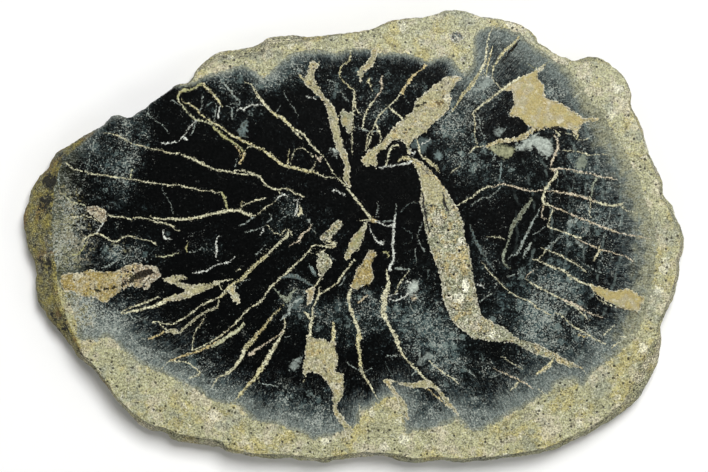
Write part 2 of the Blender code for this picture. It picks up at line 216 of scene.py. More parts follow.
        ('pink', (.5, 1, .8, .5), ((-11.4, 24.8), (-10.6, 24.1), (-10.1, 23.4), (-9.6, 24.6))),
        ('cream', (.35, .35, .5), ((-11.4, 22.9), (-11.7, 21.6), (-12.8, 20.4)))],
    'middleLeft': [
        ('cream', (.6, .5, .4, .5, .35), ((-34.2, 8.6), (-33, 9.6), (-31.5, 10.7), (-30, 11.1),
            (-28.3, 11.7), (-26.5, 12.2))),
        ('tan', (.35,), ((-33.8, 9.2), (-34, 10.2), (-33.4, 11), (-32.6, 10.8))),
        ('ash', (.5, .4, .5, .3), ((-29.7, 6.5), (-31.4, 5.2), (-33.2, 4.2), (-34, 3.8))),
        ('cream', (.3, .35, .4, .3), ((-29, 6.9), (-27.8, 8.1), (-26.3, 9.4), (-24.6, 10.3),
            (-23.3, 11.3))),
        ('white', (.4, .6, .6, .4), ((-23.3, 11.5), (-22.2, 12.5), (-20.9, 13.2), (-19.8, 12.6))),
        ('ash', (.25,), ((-20, 12), (-19.8, 10.4), (-18.5, 9))),
        ('white', (.5, .4, .3), ((-17.8, 11.6), (-16.7, 11.6), (-15.8, 11.9))),
        ('white', (.4, .6, .7, .6, .3), ((-16.7, 11), (-16.8, 9.6), (-17.2, 8.1), (-18, 6.5))),
        ('cream', (.5, .9, 1, .9), ((-16.4, 9.8), (-16, 8.7), (-15.7, 7.7), (-16.6, 7.2))),
        ('ash', (.25,), ((-22.5, 5.2), (-20.6, 6.5), (-18.8, 7.5))),
        ('ash', (.4, .5, .3, .3, .4, .4), ((-24.8, 7.2), (-24.5, 6.2), (-25.6, 4.9), (-27.2, 3.4),
            (-29, 2.6), (-31, 2.2), (-32.4, 1.9))),
        ('cream', (.3, .4, .35, .4), ((-26, 4), (-24.8, 2.7), (-23.5, 1.4), (-22, 1.2))),
        ('white', (.4, .5, .3), ((-26.9, 3), (-27.4, 1.9), (-27.8, 1.2))),
        ('ash', (.5, .4), ((-13.6, 5.6), (-13, 4.7), (-12.6, 4))),
        ('pink', (.5, .5, .7, .8, .9, .4, .2), ((-12.7, 4), (-13, 3), (-14.4, 2), (-15.7, .7), (-16.5, -.8),
            (-17.6, -1.2), (-19.3, -2.3))),
        ('ash', (.4,), ((-12.5, 3), (-11.8, 2.2), (-11.3, 1.6))),
        ('cream', (.4, .8, 1, .8, .6, .4), ((-8.2, -.8), (-6.6, -.9), (-5.5, -1.2), (-5.4, -2.2),
            (-6.8, -2.6), (-8.8, -2.3), (-11, -1.9))),
        ('cream', (.3, .5, .5, .6, .7, .6), ((-10.8, -1.8), (-12.3, -2.3), (-13.6, -4.2), (-15.2, -5.9),
            (-17, -7.4), (-18.8, -9.2), (-20.6, -10.8))),
        ('cream', (.5, .6, .7, .7, .5, .35), ((-20.6, -10.8), (-22.4, -12.3), (-24, -13.7), (-25, -14.6),
            (-26, -16.4), (-26.6, -17.2))),
        ('cream', (.3, .5, .3), ((-27, -18), (-28.3, -19.2), (-29.5, -20))),
        ('cream', (.4, .9, .9, .8, .8, .9), ((-19.2, 2.4), (-20, 1.5), (-19.8, .6), (-21.2, -.4),
            (-22.8, -1.8), (-24.5, -3.5), (-26.3, -5.3)), .3),
        ('tan', (.9, 1, .9, 1, 1, .8, .6), ((-26.3, -5.3), (-28, -6.7), (-29.8, -8.3), (-31.4, -9.9),
            (-33, -11.6), (-34.6, -12.9), (-35.8, -13.4)), .35),
        ('cream', (.3, .5, .6, .5), ((-21.5, 1.6), (-20.5, 2.7), (-19.2, 2.6), (-18.4, 1.1))),
        ('ash', (.3, .25), ((-35, -14.8), (-33.4, -13.3), (-31, -12))),
        ('white', (.35, .55, .4, .65, .4), ((-40.3, .9), (-40.9, 0), (-41.3, -1.8), (-41, -4),
            (-41.3, -5.5))),
        ('white', (.3, .5, .3, .5, .3), ((-48.5, -10.6), (-45.6, -10), (-43.4, -9.3), (-41.6, -8.1),
            (-39.2, -7.5), (-37.2, -6.8), (-35.4, -5.4))),
        ('cream', (.5, .4), ((-35, -9.8), (-34.2, -9.3))),
        ('ash', (.4, .2), ((-29.3, -4.8), (-28, -3.6), (-26.5, -2))),
        ('tan', (.6, 1, .8, .6, .5), ((-35.5, -13.3), (-37, -14.3), (-38, -15.3), (-39, -16.7),
            (-40.4, -17.7))),
        ('cream', (.5, .4, .4), ((-40.8, -13), (-38.9, -12.8), (-37.2, -12.3), (-36.2, -12))),
        ('cream', (.45,), ((-40.4, -13.6), (-39.9, -14.8), (-39.2, -15.4))),
        ('mist', (.5, 1, 1, .5), ((-13.3, -8), (-12.6, -9.1), (-11.8, -10.4), (-11.3, -11.2))),
        ('dim', (.5, 1.1, 1.3, 1.2, .8, .7), ((-21.7, -12), (-20, -11.4), (-18.2, -11.1), (-16.5, -11.8),
            (-14.4, -12.9), (-12.4, -14.2))),
        ('ashOlive', (.3, .6, 1.4, 2, 1.4, .8, .6, .3), ((-24.3, -14.5), (-22.5, -16.4), (-21.2, -17.8),
            (-20, -18.5), (-19.2, -17.8), (-18.8, -16.6), (-17.8, -15.3), (-16.8, -15.5))),
        ('ash', (.3, .4, .5, .8, 1.2, 1.1, .9, .8, .5), ((-16.4, -15.4), (-14.8, -15.7), (-15.2, -17.4),
            (-16.8, -18.6), (-18.6, -19.8), (-19.3, -21), (-19.4, -22.4), (-20.8, -23.4), (-21.9, -24.6))),
        ('cream', (.4, .6, .8, .7), ((-10, -12), (-11, -13.6), (-12.2, -14.8), (-13.2, -15.2))),
        ('cream', (.4, .6, .6, .4, .5, .8, .8, 1, 1, 1.3), ((-10, -14.6), (-10.5, -16.4), (-10.9, -18.1),
            (-11.9, -20.1), (-12.4, -21.6), (-12.2, -23), (-12.7, -24.8), (-12.9, -26.4), (-12.8, -27.8),
            (-13, -28.9))),
        ('cream', (.4, .9, 1), ((-14.9, -22.2), (-13.8, -22.8), (-12.9, -24.2))),
        ('cream', (.4, .5, .5, .5, .6, .5, .5), ((-10.3, -17), (-8.6, -15.8), (-6.8, -14.7), (-5, -13.5),
            (-3.8, -11.7), (-2.6, -9.8), (-1, -8), (.2, -6.5))),
        ('ash', (.4,), ((-4.4, -14.2), (-3.2, -13), (-2.6, -11.3))),
        ('cream', (.4, .6, .4), ((-8.3, -3.2), (-9.5, -3.9), (-11.2, -4.9))),
        ('cream', (.3, .4, .5), ((-7.9, -5), (-7.1, -6.5), (-6.7, -8))),
        ('ash', (.3, .2), ((-7.2, -5), (-6, -6.2), (-5.4, -6.5))),
        ('tan', (.5, 1, 1.1, 1.2), ((-6.2, -25), (-6, -27), (-6, -29), (-6.1, -30.6)))],
    'upperMiddle': [
        ('tan', (.5, .6, .5, .5), ((-.8, 56), (-1.1, 53.8), (-2.3, 52.6), (-3.6, 51.6), (-4.1, 49.8),
            (-3.9, 48.3), (-3, 47), (-1.4, 45.7), (-.2, 44.8))),
        ('cream', (.5, .7, .5, .4), ((.1, 44.6), (.3, 42.7), (.2, 41), (.4, 39.6), (1.4, 38), (2.5, 36.7))),
        ('cream', (.5, .4, .4, .3), ((0, 41), (-.1, 38), (-.2, 35), (-.4, 31), (-.4, 28), (-.5, 25.5))),
        ('ash', (.3,), ((-4, 44.5), (-3, 43), (-1.3, 41))),
        ('ash', (.3,), ((-7.5, 47.7), (-6.3, 47.1), (-5, 46))),
        ('tan', (.4, .9, .8, .4, .3), ((4.6, 48), (4.4, 47.1), (5, 46.3), (5.3, 45.2), (5.6, 44.2))),
        ('pink', (.4, .7, .9, .6, .5, .5), ((8.6, 48.7), (8.3, 47.3), (8.5, 46), (8.3, 44.6), (7.2, 42.8),
            (6, 41.2))),
        ('cream', (.5, .5, .6, .6, .5), ((6, 41.2), (4.8, 39.6), (3.8, 37.9), (3.2, 36.4), (2.9, 34.8),
            (2.8, 33.4))),
        ('ash', (.25,), ((5, 43), (4.4, 41.6), (3.9, 40.3))),
        ('ash', (.25,), ((8.5, 43.7), (10.5, 43.6))),
        ('ochre', (.9, .5, .6, .8, 1, 1, .9), ((21.4, 51.9), (20.4, 50.6), (19.2, 49.9), (17.8, 48.8),
            (16.7, 47.3), (15.6, 45.6), (14.4, 43.8))),
        ('cream', (.7, .5, .5, .5, .7, .5, .5, .4, .4), ((14.4, 43.8), (13, 42), (11.6, 40.6), (10, 39.2),
            (8.6, 37.9), (7.3, 36.3), (6.5, 34.6), (6, 33), (5.3, 31.5))),
        ('cream', (.4, .6, .6, .6), ((10.5, 39.4), (12, 38.2), (13.6, 37), (15, 35.4))),
        ('ash', (.3,), ((10.3, 38.9), (9.6, 37.6), (10.5, 37))),
        ('ash', (.3,), ((15.5, 41.8), (16.8, 40.3))),
        ('cream', (.5, .5, .5, .35), ((6.5, 34.6), (7.4, 32.6), (8.2, 30.9), (8, 28.9), (7.5, 27.8))),
        ('cream', (.5, .45, .6, .5), ((5.2, 32.4), (4.3, 30.6), (4, 28.6), (3.6, 26.3))),
        ('cream', (.4,), ((5.8, 32), (5, 29.8), (4.3, 27.4))),
        ('ash', (.3, .45, .45, .3), ((.2, 33.5), (2, 32.7), (3.6, 32.4), (5, 32), (7, 32.2))),
        ('cream', (.4, .55, .6, .6, .5, .4), ((9.7, 21.8), (10.3, 24.1), (10.6, 26), (11.6, 27.6),
            (12.8, 28.1), (14.2, 27.4))),
        ('white', (.5, .5, .6, .4, .6, .8, 1.1), ((8, 21.3), (9.6, 21.5), (11.2, 21.6), (12.6, 22),
            (14.4, 22.3), (16.2, 22.5), (17.2, 23.3))),
        ('tan', (.5, 1, 1.2, 1.2, 1.2), ((13.5, 23.2), (14.8, 24), (16.3, 24.2), (17.3, 23.6), (18, 23))),
        ('white', (.6, .6, .5, .4), ((16.5, 27), (17.3, 25.9), (18, 25.5), (18.6, 26.3))),
        ('cream', (.5, .6, .6, .5, .5), ((19, 29.8), (19.5, 28), (19.7, 26.2), (20.2, 25), (20.9, 24.1))),
        ('white', (.4, .3), ((20.6, 28.2), (22, 29), (23, 29.8))),
        ('cream', (.3, .4, .3, .2), ((29.2, 19.7), (30.4, 20.7), (31.6, 21.5), (32, 22.4))),
        ('tan', (.6, .9, 1, 1, .8, .4), ((21.2, 24.2), (22.4, 23.3), (23.6, 22.4), (24.8, 21.2),
            (25.6, 20.1)), .4)],
    'upperRight': [
        ('cream', (.35, .5, .6, .7, .8, .9, .9), ((42, 63.6), (40.8, 61.4), (40.2, 59), (40, 57),
            (39.8, 54.8), (39.4, 52.8), (38.6, 51.1), (37.5, 49.3))),
        ('tan', (.9, 1.1, 1.2, 1.1, 1, .9, .6, .4), ((37.5, 49.3), (36.4, 47.6), (35.4, 46.1), (34.1, 44.6),
            (32.8, 43.2), (31.9, 41.7), (30.8, 40), (29.4, 37.8)), .45),
        ('tan', (.4, .6, .6, .5, .4), ((41.8, 57.5), (41, 54.8), (40.4, 52.4), (40.1, 50.6), (39.8, 49))),
        ('tan', (.5, .9, 1, 1, .9, .8, .6, .5), ((50, 60.8), (48.6, 59.2), (47, 57.8), (45.4, 56.4),
            (44.2, 54.8), (43.2, 53.4), (42.3, 51.9), (41.8, 50.4))),
        ('cream', (.5, .4, .45, .5), ((41.8, 50.4), (41.7, 48.6), (42.2, 47.1), (43.2, 46.3),
            (44.2, 44.9))),
        # painted shadow beside the tan seam
        ('dark', (.5, .9, .8, .5), ((49.8, 59.4), (48.4, 57.6), (46.8, 55.8), (45.2, 53.6))),
        ('cream', (.9, .7, .6, .55, .5), ((49.5, 48), (48, 47.2), (46.2, 45.9), (44.6, 44.7), (42.8, 43.4),
            (41, 41.9), (39.4, 40.7), (37.8, 39.4), (36.4, 38.1), (35.6, 37.3))),
        ('ash', (.3,), ((42.3, 42.6), (44.5, 41.4))),
        ('cream', (.4,), ((36, 37.2), (36.4, 35), (36.5, 33), (36.4, 31), (36.8, 29.4), (37, 28.3))),
        ('ash', (.35,), ((37, 37.7), (37.8, 35.5), (38, 33.2), (38.6, 31.5), (40, 30))),
        ('white', (.45,), ((38.5, 48.3), (39.7, 48.8), (41.2, 48.1))),
        ('ash', (.5, .6, .4), ((36, 45), (37.4, 45.4), (38.8, 45.2))),
        ('ash', (.4,), ((40.5, 46.8), (41.9, 47.3))),
        ('cream', (.4, .5, .4), ((38.5, 27.6), (37, 27.7), (35.8, 27), (34.8, 26))),
        ('ash', (.5, .4, .3), ((42.6, 25.3), (42, 24.2), (41.6, 23.2))),
        ('mist', (.5, .7, .6, .4), ((44.3, 22.5), (44.3, 20.6), (44, 18.8), (43.7, 17.4))),
        ('pink', (.5, .65, .75, .8, .7, .5, .5), ((60.3, 31), (61, 29.6), (61.4, 28.1), (61, 26.4),
            (60.3, 24.4), (59.3, 22.6), (59.2, 21.3), (60.1, 20.2))),
        ('cream', (.4, .6), ((60.3, 33), (61, 31.8), (61.8, 31))),
        ('cream', (.3,), ((61.8, 32), (64, 31.6), (65.6, 31.2), (66.8, 30.2))),
        ('tan', (.5, .6, .5), ((67.6, 34), (67.2, 32), (67.4, 30.8), (67, 30))),
        ('cream', (.3,), ((66, 29.9), (69, 29.5), (70.5, 30.2))),
        ('cream', (.3, .35, .5, .4, .25), ((63.2, 26.5), (66, 26.2), (68.4, 25.9), (69.8, 25.2),
            (72.4, 25.1), (77, 25.1))),
        ('pink', (.5, .6, .45, .4, .5, .6, .7, .6, .3), ((60, 20.3), (61.4, 21.1), (63.4, 20.9),
            (65.6, 20.6), (67.8, 20.1), (70, 19.7), (72, 19.2), (74, 18.6), (76.2, 18.2), (79, 17.7))),
        ('cream', (.35,), ((65.5, 20), (67.4, 19.7), (69, 19.6))),
        ('olive', (.3,), ((52.5, 52.3), (54.6, 51.1), (57, 51.9), (58.5, 53))),
        ('cream', (.35,), ((66, 42.5), (67.3, 43.6), (68.7, 44.2), (70.2, 44)))],
    'right': [
        ('cream', (.3, .4, .45, .5, .5, .5), ((30.5, 9.6), (33, 11), (35.3, 12.3), (37.4, 14.1),
            (39.5, 15.3), (41.4, 15.5))),
        ('pink', (.5, .5, .6, .6, .5, .45, .4), ((41.4, 15.5), (43, 15.8), (44.8, 16.3), (46.6, 15.9),
            (48.6, 15.4), (50.4, 14.9), (52.3, 14.4), (54.2, 14.2), (56.2, 14.5), (58.4, 14.3),
            (60.2, 14.3))),
        ('pink', (.5, .65, .8, .7, .8, .8), ((60.2, 14.3), (61.8, 13.9), (63.6, 13.7), (65.4, 13.3),
            (67.2, 12.8), (69, 12.5), (70.8, 11.8), (72.6, 11.1))),
        ('cream', (.8, .7, .8, .8, .8, .5), ((72.6, 11.1), (74.2, 10.6), (75.8, 10.1), (77.5, 9.9),
            (79.2, 10), (80.8, 10.7))),
        ('cream', (.5, .4, .4, .3), ((80.3, 10.2), (80.7, 9.1), (81.3, 8.5), (83, 8.1), (84.8, 7.6))),
        ('ash', (.3, .5, .4, .4), ((35.5, 9.8), (37.6, 11.6), (39.2, 12.3), (41, 12.3), (42.2, 13.7),
            (44, 15.3))),
        ('cream', (.3, .5, .4, .3), ((40.2, .4), (42, .6), (43.8, .3), (45.6, -.5))),
        ('cream', (.4, .4, .5, .55, .5), ((38.5, -7), (40.2, -9.3), (42.2, -11.6), (44.2, -13.4),
            (46.2, -15.5), (48.4, -17), (50.6, -18), (52.6, -18.8), (54.4, -20.2), (56.2, -21.4),
            (58, -22.4), (59.5, -22.9))),
        ('dim', (.6, .8, 1, .7, .4), ((35, 4), (35.8, 1.5), (37, -1.4), (38.7, -4.4), (40.4, -7.2),
            (42.2, -10))),
        ('ashOlive', (.8, 1.2, 1.2, 1.4, 1.4, .8, .6), ((53.3, 11.5), (51.8, 9.4), (50.3, 7.3), (49, 5.5),
            (47.9, 4), (47.2, 2), (46.8, .2)), .5),
        ('ashOlive', (.6, .6, 1.1, .9, .6, .5, .4), ((46.6, -.6), (45.7, -2.8), (44.9, -5), (44.9, -6.8),
            (45.8, -8.2), (47.5, -9.3))),
        ('ash', (.3, .5, .7, .9, .9, .8), ((56, 9.3), (54.9, 6.8), (53.7, 4.9), (52.6, 2.7), (51.4, .1),
            (50.1, -2.5), (49.2, -4.4))),
        ('ash', (.7, .95, .8, .5), ((53.2, -1.3), (52.3, -3), (51.3, -4.5), (51, -5.8))),
        ('ash', (.4, .35), ((49, -4.8), (47.2, -5.2), (46.4, -6.2))),
        ('ash', (.35,), ((46, -11.3), (48, -11), (50, -10))),
        ('cream', (.7, .9, .8, .85, 1, .9, 1, .8), ((61.2, 20.7), (61, 19.2), (59.8, 17.8), (58.5, 16.2),
            (57.4, 14.4), (57, 12.8), (56.7, 11.4), (57.6, 10.4), (59, 9.8))),
        ('pink', (.6, .5, .6, .6, .6, .6), ((59, 9.8), (61.2, 9), (63, 8.4), (65, 7.3), (67, 6.5),
            (69, 5.8), (71, 5), (73, 4.2))),
        ('pink', (.55, .55, .5, .45, .35), ((73, 4.2), (75, 3.3), (77, 2.6), (79, 1.9), (81, 1.4), (84, .8),
            (86.6, .4), (89, -.1))),
        ('cream', (.5, .5, .35), ((71, 12), (71.2, 10.2), (70.8, 8), (70.8, 6.8), (71.5, 6.2))),
        ('ashOlive', (.5, .8, .9, .7, .5), ((73.5, 18.5), (72.4, 17.2), (71.7, 15.8), (71.4, 14),
            (71.5, 12.8))),
        ('dim', (.35,), ((66.5, 19.5), (66, 17), (65.7, 14.3))),
        ('dim', (.3,), ((65.8, 12.8), (65.9, 10.6), (65.3, 8.2))),
        ('dim', (.35,), ((61.3, 18), (61, 16.3), (60.9, 15))),
        ('ash', (.3,), ((76.2, 16.9), (76.8, 15.6), (77.2, 14.5))),
        ('dim', (.35,), ((77, 13), (77.8, 11.8), (78.3, 11))),
        ('ash', (.4,), ((76.5, 9.5), (77, 8.2), (76.5, 6), (75.2, 4))),
        ('ash', (.35,), ((80.3, 5.6), (79.8, 4.2), (79.2, 3))),
        ('pink', (.4,), ((57, 9.5), (56.4, 8), (56.5, 6.5), (57.6, 5.7))),
        ('cream', (.4,), ((59.8, 8.8), (59.2, 6.6), (58.5, 4.8), (58.3, 3.6), (59.2, 3.2))),
        ('cream', (.4, .5, .6, .6, .5), ((59.2, 3.2), (61.2, 2.6), (63.4, 1.8), (65.4, 1), (67, .3),
            (68.2, 0))),
        ('pink', (.35, .5, .5, .45, .4), ((66.5, .1), (68.4, -.8), (70.4, -1.7), (72.4, -2.6), (74.5, -3.5),
            (76.6, -3.9), (79, -4.7), (80.6, -5), (82.8, -6.1), (83.8, -7))),
        ('ash', (.4, .5, .6), ((63.3, 1.5), (61.4, -.1), (59.6, -1.6), (58, -3))),
        ('ash', (.3, .4), ((53.8, 1.2), (55.6, 2.2), (57.3, 3.6))),
        ('ash', (.6, 1.1, 1.2, .6, .6), ((64, 4.5), (65, 5.3), (65.9, 5), (66.4, 4.6), (67, 5.9))),
        ('ash', (.8, 1.2, .8), ((67, -.8), (68, -1.8), (68.4, -2.5))),
        ('cream', (.4, .6, .8, .8, .5), ((74, -2.2), (73.6, -3.6), (73, -4.8), (72.5, -5.8), (72, -6.8)))],
    'lowerRight': [
        ('cream', (.3, .5, .5, .5, .55, .5, .4), ((56, -2.5), (58, -3.5), (60, -4.1), (62, -5.1),
            (64, -6.3), (66, -7.2), (68, -8.5), (70, -10.2))),
        ('ash', (.25,), ((66.8, -5.5), (68.8, -7.4), (71, -8.8), (73.5, -10), (75, -10.8))),
        ('cream', (.35, .45), ((57.5, -3.8), (56.3, -5.4), (55.2, -6.4))),
        ('cream', (.35, .6, .6, .6, .6, .9, 1, .8, .5, .4), ((53.5, -6), (56, -6.9), (58.4, -8), (60.6, -9),
            (62.6, -9.5), (64.3, -10.6), (66.3, -12), (68.4, -13.1), (70, -13.6), (71, -13.8))),
        ('cream', (.5,), ((64.3, -11), (65.4, -12.3))),
        ('rust', (.35,), ((79, -20.6), (81.6, -21.3), (84, -21.7), (86, -23.2))),
        ('cream', (.3, .4), ((71.2, -14.5), (72.4, -16.8), (74.2, -18.6), (76.4, -19.8), (78, -20.2))),
        ('cream', (.4, .5, .55, .6, .6, .7), ((51.6, -12.2), (53, -13.3), (55, -14.3), (57.2, -15.4),
            (59.2, -16.5), (61.2, -17.6), (63.2, -18.5))),
        ('pink', (.75, .75, .7, .5, .45), ((63.2, -18.5), (65.2, -19.3), (67, -20), (68.8, -21.3),
            (70.4, -22.1), (72.4, -23), (74.6, -23.6))),
        ('cream', (.4, .5, .5, .4), ((63.8, -19.5), (66.2, -20.3), (67.8, -21.7), (69.2, -23),
            (70.8, -24.4))),
        ('pink', (.5, .3), ((51.6, -12), (52.4, -10.9), (53.8, -9.8))),
        ('cream', (.5, .5, .5, .6, .5, .5, .45), ((60.6, -22.2), (62.6, -23.3), (64.4, -25), (66.2, -26.6),
            (68.4, -27.8), (70.4, -28.8), (72.2, -30.1), (75.5, -31.6))),
        ('ochre', (.4, .5, .4), ((67.5, -28.8), (69.2, -29.5), (70.6, -29))),
        ('ash', (.3,), ((65.2, -25.6), (65.4, -27.2), (66.5, -28.6))),
        ('ash', (.45, .35), ((56, -21), (57.2, -22.8), (58.3, -24.1))),
        ('ash', (.6, .4), ((60, -23.2), (59, -24.4), (58, -25.3))),
        ('cream', (.35,), ((75, -28.8), (77, -27.2), (78.5, -25.8))),
        ('cream', (.4,), ((80, -29.6), (82.4, -29.4), (85.5, -27.9))),
        ('cream', (.5, .4), ((77.5, -32.8), (79, -31.5), (80.5, -30.8))),
        ('tan', (.6, .9, .7, .7, .5), ((60, -36.2), (58.9, -37.8), (57.4, -38.7), (56, -39.8),
            (54.8, -40.7))),
        ('ochre', (.5, .4, .3), ((67.8, -38.6), (68.8, -39.2), (69.4, -40.2))),
        ('cream', (.4, .4, .25), ((44.6, -35.5), (46.6, -36.9), (48.6, -38.1), (50.5, -39))),
        ('pink', (.3, .4, .4, .5, .35), ((42, -39), (44.4, -40.1), (47, -41.2), (49.6, -42.4),
            (51.3, -43.2), (53.8, -45.2))),
        ('ash', (.35,), ((40.7, -41.6), (42.8, -41.3), (44.2, -40.4))),
        ('cream', (.5, .6, .5, .4), ((50.3, -42.8), (49, -43.6), (48, -44.7), (47, -45.6))),
        ('ash', (.3, .2), ((51, -42.3), (52, -41.2), (53, -40))),
        ('cream', (.3,), ((55.5, -44.8), (57.2, -46.8))),
        ('ash', (.4,), ((51, -48.3), (51.7, -49.3))),
        ('white', (.5, .5), ((37, -14), (38.4, -13.9), (39.2, -14.8))),
        ('ash', (.3, .5), ((38, -19), (39.6, -17.6), (41.5, -16.5))),
        ('ash', (.2,), ((35.5, -48.5), (37.2, -50.8), (38.8, -52.8))),
        ('cream', (.3,), ((32, -54.5), (33.4, -55.6), (34.5, -56.8)))],
    'lowerMiddle': [
        ('cream', (1, 1, 1, .9, 1, 1.1, 1.3), ((-.8, -15.4), (-1.5, -17.4), (-1.3, -19.4), (-.6, -21.6),
            (.3, -24), (1.1, -26.3), (1.7, -28.8))),
        ('tan', (1.3, 1.3, 1.1, 1.1, 1), ((1.7, -28.8), (1.4, -31.2), (1.7, -33.6), (2, -35.6),
            (2.1, -38))),
        ('cream', (1, .8, .6, .4, .3), ((2.1, -38), (2.6, -40.2), (3.8, -42.3), (5.2, -44.7), (6.4, -46.7),
            (7.2, -48.2))),
        ('ash', (.3, .45), ((-2.3, -37), (0, -38.7), (2.4, -39.8))),
        ('ash', (.35,), ((3.5, -40), (5.5, -38.8))),
        ('pink', (.5, .9, .5), ((4.1, -17), (2.9, -18), (1.6, -19.2))),
        ('white', (.4, .8, .9, .7, .8, .6, .8, .9), ((12.6, 7), (12.2, 4.4), (12, 2), (12, 0), (11.9, -2.4),
            (12, -4.8), (12, -6.5), (11, -8), (10.8, -9.4))),
        ('ash', (.3, .4), ((12.9, 10), (12.8, 8), (12.6, 6.4))),
        ('cream', (.6, .9, 1.2, 1.8, 2, 2, 2, 1.5), ((9.9, -9.5), (10.4, -12), (10.5, -14), (9.9, -15.8),
            (9.3, -17.8), (9.2, -20), (8.9, -22), (9.3, -23.6))),
        ('cream', (1.4, 1, 1, 1.1, 1.4, 1.2), ((9.3, -23.6), (10.3, -25.2), (11.2, -27), (12, -28.4),
            (13, -30), (13.4, -31.6))),
        ('cream', (1, .9, .7, .7, .8, .5), ((13.2, -31.6), (14.2, -33.6), (15.4, -35.7), (17, -37.5),
            (18.8, -39.2), (20.4, -41), (22, -42.4))),
        ('dim', (.25,), ((14.2, 8), (16, 9.9), (18, 10.8), (19.8, 10.8))),
        ('ash', (.3, .25), ((11.2, -7.8), (12.4, -7.1), (13.3, -6.8))),
        ('ash', (.5, 1, .5, .3), ((12.5, -9), (13.4, -9.1), (15, -9.2), (17.4, -9.3))),
        ('cream', (.3, .4, .5, .5), ((16.5, -10), (14.8, -12), (13.4, -14), (13, -15.6), (12.3, -16.6))),
        ('white', (.45,), ((10.8, -17), (12.4, -16.9), (13.3, -16.4))),
        ('white', (.4, .5, .6), ((10.8, -18.2), (12.8, -18.6), (14.8, -17.8), (16.5, -16.7))),
        ('white', (.5,), ((16.3, -13), (17.4, -13.2))),
        ('pink', (1, .8), ((18, -17.8), (18.5, -17.9))),
        ('ash', (.4,), ((18.6, -16.7), (19.3, -18.2), (20.5, -19.2))),
        ('ash', (.4, .7), ((17, -20), (17.8, -21.6), (18.5, -22))),
        ('ash', (.4, .4, .4, .35, .4, .4, .5, .3), ((20, -26.5), (22, -29.5), (24, -32.2), (26, -34.6),
            (28.6, -36.5), (31, -37.6), (33.3, -39), (35.2, -40.3), (36.8, -41.8))),
        ('cream', (.35, .4, .5, .5, .4), ((22.5, -36.5), (24.8, -38.6), (27, -40.3), (29.5, -41.8),
            (31.5, -43.6))),
        ('ash', (.35,), ((30.8, -27), (31, -29.4), (31.3, -31.3))),
        ('ash', (.45,), ((19.8, -35.5), (19.7, -32.5))),
        ('ash', (.3, .6), ((17.2, -41.4), (18.6, -39.9))),
        ('dim', (.3,), ((9.5, -37), (10.4, -39), (11.8, -41.3))),
        ('ash', (.4,), ((10, -35.2), (11.5, -35.1), (13, -35))),
        ('ochre', (.5, .45, .5, .4), ((22.3, -45.2), (24.3, -46.9), (26.2, -48.5), (27.6, -49.8))),
        # painted shade in an open gap beside the ochre seam
        ('dark', (.3, .5, .4), ((24.5, -45.5), (25.5, -46.8), (26.5, -48))),
        ('ash', (.4,), ((15.5, -47), (17.2, -46.2), (19, -45.6))),
        ('cream', (.3, .5), ((1.8, -49.5), (1.8, -52), (2.1, -54)))],
    'heart': [
        ('cream', (.5, .7, .8, .8, .8, .9, 1), ((-1.9, 15), (-.6, 13.4), (1, 11.4), (2.6, 9.5), (3.8, 7.8),
            (5, 6.3), (5.6, 5.4))),
        ('ochre', (1.4, 1.6), ((5.6, 5.6), (6.1, 5.3))),
        ('cream', (.3, .4, .5), ((1.5, 5.5), (3.4, 5.4), (5.3, 6))),
        ('cream', (.5, .6), ((4, 4.3), (2.8, 3.3))),
        ('ash', (.4, .4, .25), ((6.8, 7), (7.3, 8.6), (7.1, 10.8))),
        ('white', (.4, .5, .5, .4), ((6.5, 5.2), (8.4, 4.5), (10.3, 3.7), (12.3, 4.4))),
        ('white', (.4, .4, .9, 1, .5), ((5, 3.8), (5.3, 1.8), (6.6, -.3), (8, -1.4), (8.8, -1.5),
            (9.1, -.8))),
        ('ash', (.35,), ((8.8, 5.2), (12, 5.2))),
        ('white', (.4, .5, .6, .5, .3), ((-6.5, 14.2), (-5.5, 14.6), (-4.3, 13.9), (-2.5, 12.9))),
        ('olive', (.3, .7), ((8.7, -4), (10.2, -4.1), (10.6, -5.4))),
        ('ash', (.35,), ((20.8, 4.5), (19.5, 2.2), (19.4, -.6), (20.6, -2.7), (21.3, -4))),
        ('ash', (.3,), ((18.6, -3), (18.7, -8))),
        ('dim', (.25,), ((14.5, 3.5), (16.4, 2.1), (17.7, .8), (17.2, -1), (15, -1.7))),
        ('dim', (.25,), ((22.3, -9.5), (22.1, -13.5)))],
    # the dark lines here are painted shade in open gaps beside the sandy wedge
    'darkStreaks': [
        ('dark', (.5, .75, .9, .7, .5), ((20.6, 14), (20.8, 12), (21, 10), (21.3, 8.5), (21.8, 6.5),
            (22.1, 4.5), (22.6, 3), (23, 1.8))),
        ('dark', (.6, 1.0, .55), ((27, 13.5), (27.2, 11.5), (27.6, 9.8), (28.3, 8.4), (28.6, 7.7))),
        ('dark', (.3, .4, .3), ((20.3, 21.5), (21.3, 20.5), (22.2, 19.5), (23, 18.5))),
        ('ochre', (.5, .6, .4), ((22.5, 20.7), (24.6, 18.3), (26.6, 15.7), (27.6, 14))),
        ('rust', (.25, .35, .3, .2), ((-13.5, 47.5), (-11.5, 45), (-9.5, 42.5), (-8, 40.5), (-6.5, 38),
            (-5.5, 36))),
        ('rust', (.2, .3, .2), ((-12.4, 51.6), (-12.6, 49.4), (-11.8, 46.6))),
        ('rust', (.2, .3, .2), ((-6.2, 33), (-5.4, 30.4), (-4.2, 27.4)))]}
